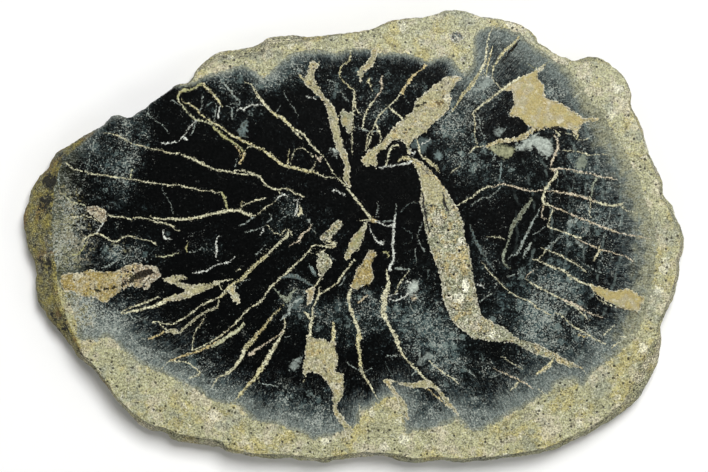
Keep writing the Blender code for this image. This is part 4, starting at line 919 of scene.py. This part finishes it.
def paintSeams(mesh, points):
    for k, layer in enumerate(sortSeams()):
        best = np.full(len(points), seamLook['far'])
        offset = np.zeros((len(points), 3))
        offset[:, 0] = seamLook['far']
        tint = np.tile(linear(tones['cream']), (len(points), 1))
        trait = np.zeros((len(points), 3))
        trait[:, 0] = seamLook['far']
        for path, half, colour, hollow, sandy in layer:
            reach = half.max() + seamLook['reach']
            low, high = path.min(axis=0) - reach, path.max(axis=0) + reach
            near = np.flatnonzero(((points > low) & (points < high)).all(axis=1))
            if not len(near):
                continue
            spot = points[near]
            for start, end, wide, wider in zip(path[:-1], path[1:], half[:-1], half[1:]):
                close = np.flatnonzero((np.abs(spot - (start + end) / 2) < reach + 1).all(axis=1))
                if not len(close):
                    continue
                along = end - start
                share = ((spot[close] - start) @ along / max(along @ along, 1e-9)).clip(0, 1)
                gap = start + share[:, None] * along - spot[close]
                away = np.sqrt((gap * gap).sum(axis=1))
                width = wide + (wider - wide) * share
                which = near[close]
                win = away - width < best[which]
                which, gap, away, width = which[win], gap[win], away[win], width[win]
                best[which] = away - width
                offset[which, :2] = gap
                offset[which, 2] = width
                tint[which] = colour
                trait[which, 0] = away
                trait[which, 1:] = hollow, sandy
        store(mesh, f'seam{k}', 'FLOAT_VECTOR', offset)
        store(mesh, f'seamTint{k}', 'FLOAT_VECTOR', tint)
        store(mesh, f'seamTrait{k}', 'FLOAT_VECTOR', trait)


# how coarse the grains of each patch are
patchGrain = {'sand': 1.35, 'tan': .75, 'yellow': .03, 'orange': .7, 'pink': .8, 'rubble': 1.4, 'greenTan': .4,
              'olive': .3, 'dim': 1.5}


def paintPatches(mesh, points):
    for layer, shapes in patches.items():
        best = np.full(len(points), seamLook['far'])
        tint = np.tile(linear(tones['tan']), (len(points), 1))
        grain = np.ones(len(points))
        for tone, corners in shapes:
            edge, _ = curveThrough(corners, closed=True, step=.9)
            low, high = edge.min(axis=0) - 3, edge.max(axis=0) + 3
            near = np.flatnonzero(((points > low) & (points < high)).all(axis=1))
            if not len(near):
                continue
            gap = -rimDistance(points[near], edge)
            win = gap < best[near]
            best[near[win]] = gap[win]
            tint[near[win]] = linear(tones[tone])
            grain[near[win]] = patchGrain.get(tone, .5)
        store(mesh, f'{layer}Edge', 'FLOAT', best.clip(-3, 3))
        store(mesh, f'{layer}Tint', 'FLOAT_VECTOR', tint)
        if layer == 'sand':
            store(mesh, 'sandGrain', 'FLOAT', grain)


def softSpots(points, spots):
    total = np.zeros(len(points))
    for x, y, radius, strength in spots:
        away = ((points - (x, y)) ** 2).sum(axis=1) / radius ** 2
        total = 1 - (1 - total) * (1 - strength * np.exp(-away))
    return total


patternShift = (.012, .628)   # the pattern's own middle, from the slab's


def paintPattern(mesh):
    spots = np.empty(len(mesh.vertices) * 3, np.float32)
    mesh.vertices.foreach_get('co', spots)
    points = spots.reshape(-1, 3)[:, :2].astype(float) / mm + patternShift
    paintSeams(mesh, points)
    paintPatches(mesh, points)
    edge, _ = curveThrough(woodEdge, closed=True, step=1.2)
    depth = rimDistance(points, edge)
    store(mesh, 'woodDepth', 'FLOAT', depth.clip(-8, 30))
    angle = np.degrees(np.arctan2(points[:, 1], points[:, 0]))
    reach = np.interp(angle, *zip(*greyReach))
    store(mesh, 'grey', 'FLOAT', np.exp(-(depth.clip(0, 60) / reach) ** 1.4))
    store(mesh, 'lace', 'FLOAT', softSpots(points, lace))
    store(mesh, 'crust', 'FLOAT', softSpots(points, crust))
    store(mesh, 'hollow', 'FLOAT', softSpots(points, shadedHollows))


class Wire:
    # one socket of a node tree, so that sums of sockets read as sums
    def __init__(self, tree, socket=None):
        self.tree = tree
        self.socket = socket

    def node(self, kind, settings=(), sockets=(), out=0):
        made = self.tree.nodes.new(kind)
        for name, value in dict(settings).items():
            setattr(made, name, value)
        for name, value in dict(sockets).items():
            if isinstance(value, Wire):
                self.tree.links.new(value.socket, made.inputs[name])
            else:
                made.inputs[name].default_value = value
        return Wire(self.tree, made.outputs[out])

    def also(self, out):
        # another output of the same node
        return Wire(self.tree, self.socket.node.outputs[out])

    def sum(self, operation, first, second=0.):
        return self.node('ShaderNodeMath', {'operation': operation}, {0: first, 1: second})

    def __add__(self, other):
        return self.sum('ADD', self, other)

    def __sub__(self, other):
        return self.sum('SUBTRACT', self, other)

    def __rsub__(self, other):
        return self.sum('SUBTRACT', other, self)

    def __mul__(self, other):
        return self.sum('MULTIPLY', self, other)

    def __truediv__(self, other):
        return self.sum('DIVIDE', self, other)

    def __pow__(self, other):
        return self.sum('POWER', self, other)

    def __abs__(self):
        return self.sum('ABSOLUTE', self)

    __radd__ = __add__
    __rmul__ = __mul__

    def most(self, other):
        return self.sum('MAXIMUM', self, other)

    def least(self, other):
        return self.sum('MINIMUM', self, other)

    def rise(self, low, high):
        # 0 below low, 1 above high, smooth between; low may be the larger
        if low > high:
            return 1 - self.rise(high, low)
        return self.node('ShaderNodeMapRange', {'interpolation_type': 'SMOOTHSTEP'},
                         {'Value': self, 'From Min': low, 'From Max': high})

    def attribute(self, name, out='Fac'):
        return self.node('ShaderNodeAttribute', {'attribute_name': name}, out=out)

    def vector(self, operation, other=None, scale=None):
        sockets = {0: self}
        if other is not None:
            sockets[1] = other
        if scale is not None:
            sockets['Scale'] = scale
        return self.node('ShaderNodeVectorMath', {'operation': operation}, sockets)

    def parts(self):
        first = self.node('ShaderNodeSeparateXYZ', (), {0: self})
        return first, first.also(1), first.also(2)

    def clouds(self, size, detail=2., rough=.6, shift=0.):
        # three noises at once, each about 0 and mostly within 1
        moved = self.vector('ADD', (shift, shift * .7, shift * .3))
        made = self.node('ShaderNodeTexNoise', (), {
            'Vector': moved, 'Scale': 1 / size, 'Detail': detail, 'Roughness': rough}, 'Color')
        return made.vector('SUBTRACT', (.5, .5, .5)).vector('SCALE', scale=4.)

    def cells(self, size, shift=0.):
        # how far off the nearest cell's middle is, and three lots drawn for that cell
        moved = self.vector('ADD', (shift, shift * .7, shift * .3))
        made = self.node('ShaderNodeTexVoronoi', (), {'Vector': moved, 'Scale': 1 / size}, 'Distance')
        return (made, *made.also('Color').parts())

    def blend(self, other, share):
        # this colour, with a share of another over it
        other = (*linear(other), 1) if isinstance(other, tuple) else other
        return self.node('ShaderNodeMix', {'data_type': 'RGBA'}, {0: share, 6: self, 7: other}, 2)

    def paint(self, tone):
        made = self.node('ShaderNodeRGB')
        made.socket.default_value = (*linear(tone), 1)
        return made

    def shade(self, factor):
        # this colour made darker or lighter by a number
        return self.vector('SCALE', scale=factor)


woodLook = {
    'black': (3, 4, 4), 'dusk': (22, 29, 29), 'veil': (74, 88, 88), 'smudge': (60, 77, 78),
    'fleck': (112, 126, 121), 'pale': (198, 204, 192), 'blots': 2.9}     # the last one is a size in millimetres
greyLook = {
    'inner': (46, 57, 60), 'outer': (108, 117, 112), 'rim': (146, 145, 116), 'old': (94, 96, 72),
    'pith': (5.9, 5.2, 0),      # where the rays of the wood start
    'oldFace': (-74, -90)}      # the face is browner from the first x to the second
# pit is painted shade, the darkness inside small pits
sandLook = {
    'khaki': (162, 161, 126), 'straw': (168, 159, 106), 'rose': (176, 169, 145), 'stone': (136, 140, 122),
    'darkGrain': (66, 62, 42), 'paleGrain': (230, 228, 206), 'gap': (70, 64, 42), 'shadedPit': (30, 25, 16),
    'ochre': (170, 152, 100), 'moss': (138, 140, 106),
    'grain': .8, 'clast': 4.6, 'pits': 1.6}     # the last three are sizes in millimetres
polishLook = {'face': .12, 'sand': .19, 'paintedSandSheen': .1}     # roughness of both, and how much paler the sandy parts are painted, as painted sheen
# the hollow tone is painted shade, for recesses in the broken side
edgeLook = {
    'moss': (142, 133, 72), 'rust': (124, 92, 46), 'hollow': (22, 23, 18), 'rough': .86,
    'oldSide': (-70, -90)}      # the side is mossier from the first x to the second
underLook = {'dust': (140, 140, 124), 'rough': .76}
bumpLook = {'face': .04, 'edge': .45, 'under': .08, 'strength': .8}     # millimetres
# the noises that the pattern shares: size in millimetres, detail, and where each is taken from
cloudLook = {
    'slow': (9, 2, 0.), 'mid': (2.6, 3, 30.), 'bend': (1.4, 2, 60.), 'fine': (.7, 1, 90.),
    'sharp': (.46, 0., 120.)}
driftLook = (.36, .26, .12)     # how far bend, fine and sharp push the rims of seams and patches about


def gritOf(noises, grains, base, coarse):
    # sandstone over a base colour: grains, larger clasts and pits, the pits darkened with painted shade; coarse
    # is 0 for a fine filling, 1 for gravel
    slow, mid, bend, fine, sharp = noises
    away, clastA, clastB, clastC = grains['clast']
    away = away + .14 * mid[0] + .12 * bend[1] + .09 * fine[1]
    here = clastC.rise(.62, .65) * coarse
    clast = here * away.rise(.44, .38)
    colour = base.blend(sandLook['gap'], here * abs(away - .43).rise(.05, .01) * .3)
    colour = colour.blend(sandLook['paleGrain'], clast * .55 * clastA.rise(.45, .6))
    colour = colour.blend(sandLook['stone'], clast * .5 * clastA.rise(.5, .35))
    colour = colour.blend(sandLook['rose'], clast * .5 * clastB.rise(.55, .65))
    lotA, lotB, lotC = grains['grain'][1:]
    colour = colour.shade(1 + (.1 + .32 * coarse) * sharp[0] + (.08 + .16 * coarse) * fine[0]
                          + (lotA - .5) * .4 * coarse)
    pale = sharp[1] + fine[1] * .5 + (lotB - .5) * coarse
    colour = colour.blend(sandLook['paleGrain'], pale.rise(.5, 1.05) * (.08 + .4 * coarse))
    dark = sharp[2] - fine[1] * .5 + (lotC - .5) * coarse
    colour = colour.blend(sandLook['darkGrain'], dark.rise(.5, 1.1) * (.12 + .64 * coarse))
    # small pits: painted shade inside them, and lower for the bump
    away, pitLot = grains['shadedPit'][:2]
    shadedPit = (pitLot + slow[1] * .12).rise(.6, .63) * (away + .1 * fine[2]).rise(.28, .2) * coarse
    return colour.blend(sandLook['shadedPit'], shadedPit.least(1.)), sharp[0] * .5 + lotA - shadedPit * 3


def paintWood(start, place, noises):
    # black, with grey smudges, flecks and pale threads where it is lacy
    slow, mid, bend, fine, sharp = noises
    lacy = start.attribute('lace')
    lively = lacy * 1.9 + start.attribute('grey') * .5 + slow[2] * .36 + mid[2] * .36
    colour = start.paint(woodLook['black']).blend(woodLook['dusk'], (lively + fine[2] * .7).rise(.2, 1.5))
    haze = (lively + bend[2] * .9 + fine[1] * .7 + sharp[1] * .5).rise(.85, 2.6)
    colour = colour.blend(woodLook['veil'], haze)
    smudge = (lively * .9 + mid[0] * .8 + bend[1] * .7 + fine[0] * .3).rise(1., 1.9)
    colour = colour.blend(start.paint(woodLook['smudge']).shade(1 + .4 * sharp[2] + .3 * fine[1]), smudge * .7)
    away, blotLot, blotTone = place.cells(woodLook['blots'], 71.)[:3]
    blot = (blotLot + lacy * .3).rise(.82, .86) * (away + .2 * bend[0] + .16 * fine[1]).rise(.42, .3)
    blotted = start.paint(woodLook['smudge']).blend(woodLook['fleck'], blotTone).shade(1.05 + .3 * sharp[2])
    colour = colour.blend(blotted, blot * (lively + .3 * sharp[0]).rise(.35, 1.) * .85)
    fleck = (sharp[0] * .7 + fine[2] * .8 + bend[1] * .5 + lively * .75).rise(1.5, 2.2)
    colour = colour.blend(woodLook['fleck'], fleck * .8)
    thread = abs(bend[0] + fine[1] * .2).rise(.24, .06).most(abs(mid[1] + fine[0] * .14).rise(.09, .02))
    colour = colour.blend(woodLook['pale'], (sharp[1] + fine[0] * .8 + lively * .35).rise(1.95, 2.4) * .75)
    return colour, lively, thread


def paintGrey(start, colour, place, noises, oldFace):
    # weathering in from the edge of the wood, streaked along the rays from the pith
    slow, mid, bend, fine, sharp = noises
    grey = start.attribute('grey')
    depth = start.attribute('woodDepth')
    across, up = place.vector('SUBTRACT', greyLook['pith']).parts()[:2]
    radius = (across * across + up * up) ** .5
    polar = start.node('ShaderNodeCombineXYZ', (), {0: start.sum('ARCTAN2', up, across) * 95, 1: radius * .2})
    ray, rayLine = polar.clouds(1., 2, .6).parts()[:2]
    tone = start.paint(greyLook['inner']).blend(greyLook['outer'], (grey + mid[0] * .2).rise(.35, 1.))
    paleSide = across.rise(44, 66) * up.rise(-46, -34)
    paleRim = (depth * (1 - .8 * paleSide) + mid[1] * .8).rise(1.6, .2)
    tone = tone.blend(greyLook['rim'], paleRim * (.45 + .4 * paleSide))
    tone = tone.blend(greyLook['old'], oldFace * (.75 + .4 * mid[1]))
    tone = tone.shade(1 + .4 * sharp[0] + .14 * ray + .3 * fine[1] + .14 * bend[0] - .2 * oldFace)
    speck = (sharp[2] + fine[2] * .6 + mid[0] * .4 + oldFace * .4).rise(.8, 1.3)
    tone = tone.blend(woodLook['black'], speck * .6)
    tone = tone.blend(woodLook['pale'], (sharp[1] + fine[0] * .5).rise(.8, 1.25) * .34)
    veil = grey * 1.1 + ray * .13 + mid[2] * .2 + bend[2] * .13 + sharp[1] * .13 + fine[2] * .12 + slow[1] * .16
    colour = colour.blend(tone, veil.rise(.2, 1.12))
    streak = abs(rayLine + .1 * fine[0]).rise(.12, .0) * (grey + mid[1] * .4 + sharp[2] * .2).rise(.15, .9)
    colour = colour.blend(woodLook['pale'], streak * .36)
    wave = start.node('ShaderNodeMath', {'operation': 'SINE'}, {0: radius * 1.2 + slow[1] * 1.4})
    ring = across.rise(38, 52) * depth.rise(0, 3) * (wave + fine[0] * .12).rise(.8, .99) * mid[0].rise(-.3, .4)
    colour = colour.blend(woodLook['fleck'], ring * .5)
    return colour


def paintSand(start, colour, noises, grains, oldFace, lively, thread):
    # sandstone, that breaks up grain by grain where it meets the wood
    slow, mid, bend, fine, sharp = noises
    depth = start.attribute('woodDepth')
    crustHere = start.attribute('crust')
    base = start.paint(sandLook['khaki']).blend(sandLook['straw'], (slow[0] + mid[1] * .5).rise(-.1, .6) * .85)
    base = base.blend(sandLook['rose'], (slow[1] + mid[0] * .6).rise(0., .6) * .75)
    base = base.blend(sandLook['stone'], (slow[2] + mid[2] * .6).rise(.15, .7) * .7)
    sandColour, sandHeight = gritOf(noises, grains, base, .85)
    lot = grains['grain'][3]
    outside = ((lot - .5) * .55 + mid[0] * .2 + fine[0] * .2 + sharp[2] * .1 - depth / 1.2).rise(-.12, .14)
    crusty = (crustHere * 1.2 + (lot - .5) * .8 + mid[1] * .5 + fine[0] * .5).rise(.5, .9)
    crusty = crusty * crustHere.rise(.08, .35)
    colour = colour.blend(sandColour.shade(.62), crusty * .75)
    threadHere = (lively * .9 + crustHere * 1.5 + slow[0] * .6 + mid[0] * .5 + sharp[1] * .6).rise(.8, 1.8)
    colour = colour.blend(woodLook['pale'], thread * threadHere * .6)
    light = 1 - .14 * oldFace + .13 * mid[2] + .1 * slow[1] + .07 * bend[0]
    colour = colour.blend(sandColour.shade(light), outside)
    return colour, outside.most(crusty * .5), sandHeight


def paintFillings(start, colour, grit, noises, grains, drift):
    # clear chalcedony fades out at its rim; the sandy shapes end sharply
    slow, mid, bend, fine, sharp = noises
    clearHere = (0 - start.attribute('clearEdge') + drift[0] * 1.6 + mid[1] * .4).rise(-.4, .6)
    clear = start.attribute('clearTint', 'Vector').shade(.96 + .24 * bend[2] + .16 * sharp[0] + .2 * mid[1])
    colour = colour.blend(clear, clearHere * (.85 + .3 * bend[1] + .3 * fine[2]))
    sandEdge = start.attribute('sandEdge')
    sandShape = (drift[1] - sandEdge).rise(-.1, .14)
    filling = start.attribute('sandTint', 'Vector').shade(.75 + .13 * mid[2] + .1 * bend[2])
    rosy = start.paint(sandLook['rose']).shade(.86)
    filling = filling.blend(rosy, (slow[1] * .7 + mid[1]).rise(-.1, .6) * .62)
    filling = filling.blend(sandLook['ochre'], (mid[0] + slow[2] * .5).rise(0., .6) * .7)
    filling = filling.blend(sandLook['moss'], (mid[2] + bend[0] * .4).rise(.15, .7) * .55)
    filling = filling.blend(sandLook['paleGrain'], (bend[1] + mid[1] * .5).rise(.2, .9) * .32)
    filling = filling.blend(sandLook['gap'], abs(mid[2] + bend[0] * .3).rise(.12, .02) * (.2 + .4 * fine[0]))
    filling = gritOf(noises, grains, filling, start.attribute('sandGrain'))[0]
    rim = sandShape * abs(sandEdge + .3 + fine[2] * .2).rise(.35, .1) * fine[0].rise(-.5, .3)
    line = (drift[1] - sandEdge).rise(.42, .2) * (bend[2] + mid[0]).rise(-.6, .2)
    filling = filling.blend(sandLook['gap'], rim * .6).blend(sandLook['paleGrain'], line * .42)
    colour = colour.blend(filling, sandShape)
    return colour, grit.most(sandShape)


def paintSeam(start, colour, grit, noises, drift, k):
    # one layer of seams: ragged at their rims, broken where they are thin and frayed into the wood
    slow, mid, bend, fine, sharp = noises
    alongX, alongY, half = start.attribute(f'seam{k}', 'Vector').parts()
    nearest, hollow, sandy = start.attribute(f'seamTrait{k}', 'Vector').parts()
    tint = start.attribute(f'seamTint{k}', 'Vector')
    offX = alongX + drift[1 - k % 2] * seamLook['wander']
    offY = alongY + drift[k % 2] * seamLook['wander']
    away = ((offX * offX + offY * offY) ** .5).most(nearest - .5)
    width = half * (.92 + .44 * bend[2] + .34 * fine[1]) - .02
    broken = (sharp[2] * .5 + fine[2] * .4 + mid[0] * .4 + half * 2.2).rise(-.45, .1)
    here = (width - away).rise(-.09, .11) * broken
    frayed = (width + .5 - away).rise(0., .35) * (sharp[1] + fine[2] * .6).rise(.7, 1.1)
    filled = tint.shade(.9 + .42 * sharp[0] + .26 * fine[2])
    filled = filled.blend(sandLook['ochre'], (mid[1] + slow[0] * .6).rise(.1, .8) * .55 * sandy)
    palest = (sharp[1] + fine[0] * .6).rise(.25, 1.)
    filled = filled.blend(sandLook['paleGrain'], palest * (.04 + .6 * sandy))
    darkest = (fine[1] * .8 - sharp[0]).rise(.3, .9)
    filled = filled.blend(sandLook['darkGrain'], darkest * (.42 + sandy * .4))
    filled = filled.blend(sandLook['gap'], (width * .5 - away).rise(-.09, .05) * hollow)
    return colour.blend(filled, here.most(frayed * .6)), grit.most(here * sandy * .6)


def stonePattern(start):
    place = start.node('ShaderNodeTexCoord', out='Object').vector('SCALE', scale=1 / mm)
    clouds = {name: place.clouds(size, detail, shift=shift)
              for name, (size, detail, shift) in cloudLook.items()}
    noises = slow, mid, bend, fine, sharp = [clouds[name].parts() for name in cloudLook]
    grains = {'grain': place.vector('ADD', clouds['fine'].vector('SCALE', scale=.2)).cells(sandLook['grain']),
              'clast': place.cells(sandLook['clast'], 17.), 'shadedPit': place.cells(sandLook['pits'], 53.)}
    drift = [bend[k] * driftLook[0] + fine[k] * driftLook[1] + sharp[2 - 2 * k] * driftLook[2] for k in (0, 1)]
    oldFace = (place.parts()[0] + slow[1] * 5 + mid[0] * 3).rise(*greyLook['oldFace'])
    colour, lively, thread = paintWood(start, place, noises)
    colour = paintGrey(start, colour, place, noises, oldFace)
    colour, grit, sandHeight = paintSand(start, colour, noises, grains, oldFace, lively, thread)
    colour, grit = paintFillings(start, colour, grit, noises, grains, drift)
    for k in range(seamLook['layers']):
        colour, grit = paintSeam(start, colour, grit, noises, drift, k)
    # holes: the dark ones are painted shade, the rust ones stained
    hole = (drift[0] * 1.3 + fine[1] * .2 - start.attribute('holeEdge')).rise(-.12, .1)
    colour = colour.blend(start.attribute('holeTint', 'Vector').shade(1 + .3 * sharp[0]), hole * .92)
    return place, colour, grit * (1 - hole), sandHeight, noises


def stoneMaterial(name, kind):
    made = bpy.data.materials.new(name)
    made.use_nodes = True
    tree = made.node_tree
    tree.nodes.clear()
    start = Wire(tree)
    place, colour, grit, sandHeight, noises = stonePattern(start)
    slow, mid, bend, fine, sharp = noises
    if kind == 'face':
        # sandy parts painted paler: painted sheen, standing in for the lamp's sheen on rougher sand
        colour = colour.shade(1 + polishLook['paintedSandSheen'] * grit)
        rough = polishLook['face'] + grit * (polishLook['sand'] - polishLook['face']) + .02 * fine[2]
        height = sandHeight * grit * .3 + slow[1] * .2
    elif kind == 'edge':
        # broken stone is dull and stained, with painted shade in its recesses
        oldSide = (place.parts()[0] + slow[1] * 8).rise(*edgeLook['oldSide'])
        colour = colour.shade(1. + .28 * mid[0] + .36 * sharp[0] - .42 * oldSide)
        moss = start.paint(edgeLook['moss']).shade(1.1 + .5 * sharp[0] + .4 * fine[1] + .3 * mid[2])
        colour = colour.blend(moss, oldSide * (.45 + .9 * mid[1] + .3 * bend[0]))
        rust = (slow[0] + fine[0] * .4).rise(.2, .8)
        colour = colour.blend(edgeLook['rust'], rust * (.2 + .4 * oldSide))
        crack = (mid[2] + slow[2] * .5 + fine[1] * .5).rise(.3, .9)
        colour = colour.blend(sandLook['gap'], crack * (.5 + .3 * oldSide))
        # painted shade in the recesses of the broken left side
        hollow = (start.attribute('hollow') * 1.5 + slow[2] * .6 + mid[0] * .9 + fine[2] * .5).rise(.55, .8)
        colour = colour.blend(edgeLook['hollow'], hollow * oldSide * .95)
        rough = edgeLook['rough'] + .05 * mid[0]
        height = fine[1] * .4 + sharp[0] * .25 + sandHeight * .3
    else:
        saw = start.node('ShaderNodeTexWave', {'wave_type': 'BANDS', 'bands_direction': 'DIAGONAL'},
                         {'Vector': place, 'Scale': .6, 'Distortion': 2.5, 'Detail': 2.})
        colour = colour.shade(.98 + .2 * saw).blend(underLook['dust'], .22)
        rough = underLook['rough'] + .08 * saw
        height = saw * .5 + sharp[0] * .2
    bump = start.node('ShaderNodeBump', (), {
        'Strength': bumpLook['strength'], 'Distance': bumpLook[kind] * mm, 'Height': height})
    shader = start.node('ShaderNodeBsdfPrincipled', (), {
        'Base Color': colour, 'Roughness': rough, 'Normal': bump})
    tree.links.new(shader.socket, tree.nodes.new('ShaderNodeOutputMaterial').inputs['Surface'])
    return made


print('building the slab')
slabMesh = buildSlab()
print('painting the pattern')
paintPattern(slabMesh)
slab = bpy.data.objects.new('petrifiedWoodSlice', slabMesh)
bpy.context.scene.collection.objects.link(slab)
print('making the stone')
for name, kind in (('polishedFace', 'face'), ('brokenEdge', 'edge'), ('sawnUnderside', 'under')):
    slabMesh.materials.append(stoneMaterial(name, kind))
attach(slab, 'root')
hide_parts('petrified_wood_slice')

stageLook = {
    'floor': (250, 250, 249), 'floorSize': 6, 'floorRough': .9,
    # light round the horizon and overhead, and the heights between which one becomes the other
    'world': .2, 'overhead': .02, 'sky': (.78, .96),
    # soft lamps: name, place, size and watts
    'lamps': (('keyLamp', (.34, .78, 2.1), .8, 46), ('sideLamp', (1.7, -.3, 1.8), 1, 6),
              ('frontLamp', (-.6, -1.6, 1.8), 1, 6)),
    'lampAim': (0, 0, .01)}

print('setting the stage')
floorMesh = bpy.data.meshes.new('floor')
floorShape = bmesh.new()
bmesh.ops.create_grid(floorShape, x_segments=1, y_segments=1, size=stageLook['floorSize'])
floorShape.to_mesh(floorMesh)
floorShape.free()
floor = bpy.data.objects.new('floor', floorMesh)
bpy.context.scene.collection.objects.link(floor)
floorPaper = bpy.data.materials.new('floor')
floorPaper.use_nodes = True
floorShader = floorPaper.node_tree.nodes['Principled BSDF']
floorShader.inputs['Roughness'].default_value = stageLook['floorRough']
floorStart = Wire(floorPaper.node_tree)
floorPlace = floorStart.node('ShaderNodeTexCoord', out='Object')
floorTone = floorStart.paint(stageLook['floor']).shade(1 + .005 * floorPlace.clouds(.2).parts()[0])
floorPaper.node_tree.links.new(floorTone.socket, floorShader.inputs['Base Color'])
floorMesh.materials.append(floorPaper)

# daylight all round the horizon, and darker straight above, where the polish would mirror it
world = bpy.data.worlds.new('studio')
bpy.context.scene.world = world
world.use_nodes = True
sky = Wire(world.node_tree)
aim = sky.node('ShaderNodeTexCoord', out='Generated').parts()[2]
light = sky.node('ShaderNodeMapRange', {'interpolation_type': 'SMOOTHSTEP'},
                 {'Value': aim, 'From Min': stageLook['sky'][0], 'From Max': stageLook['sky'][1],
                  'To Min': stageLook['world'], 'To Max': stageLook['overhead']})
world.node_tree.links.new(light.socket, world.node_tree.nodes['Background'].inputs['Color'])

for name, spot, size, watts in stageLook['lamps']:
    lampData = bpy.data.lights.new(name, 'AREA')
    lampData.size = size
    lampData.energy = watts
    lamp = bpy.data.objects.new(name, lampData)
    lamp.location = spot
    lamp.rotation_euler = (Vector(stageLook['lampAim']) - Vector(spot)).to_track_quat('-Z', 'Y').to_euler()
    bpy.context.scene.collection.objects.link(lamp)

# straight above; width is how much of the polished face the picture spans, in metres
cameraLook = {'lens': 200, 'sensor': 36, 'width': .2124, 'middle': (.000138, .000122), 'clipEnd': 20}
cameraData = bpy.data.cameras.new('camera')
cameraData.lens = cameraLook['lens']
cameraData.sensor_width = cameraLook['sensor']
cameraData.clip_end = cameraLook['clipEnd']
camera = bpy.data.objects.new('camera', cameraData)
cameraRise = cameraLook['width'] * cameraLook['lens'] / cameraLook['sensor']
camera.location = (*cameraLook['middle'], cadBox[1][2] + cameraRise)
bpy.context.scene.collection.objects.link(camera)
bpy.context.scene.camera = camera
bpy.context.scene.view_settings.view_transform = 'Standard'

print('done')
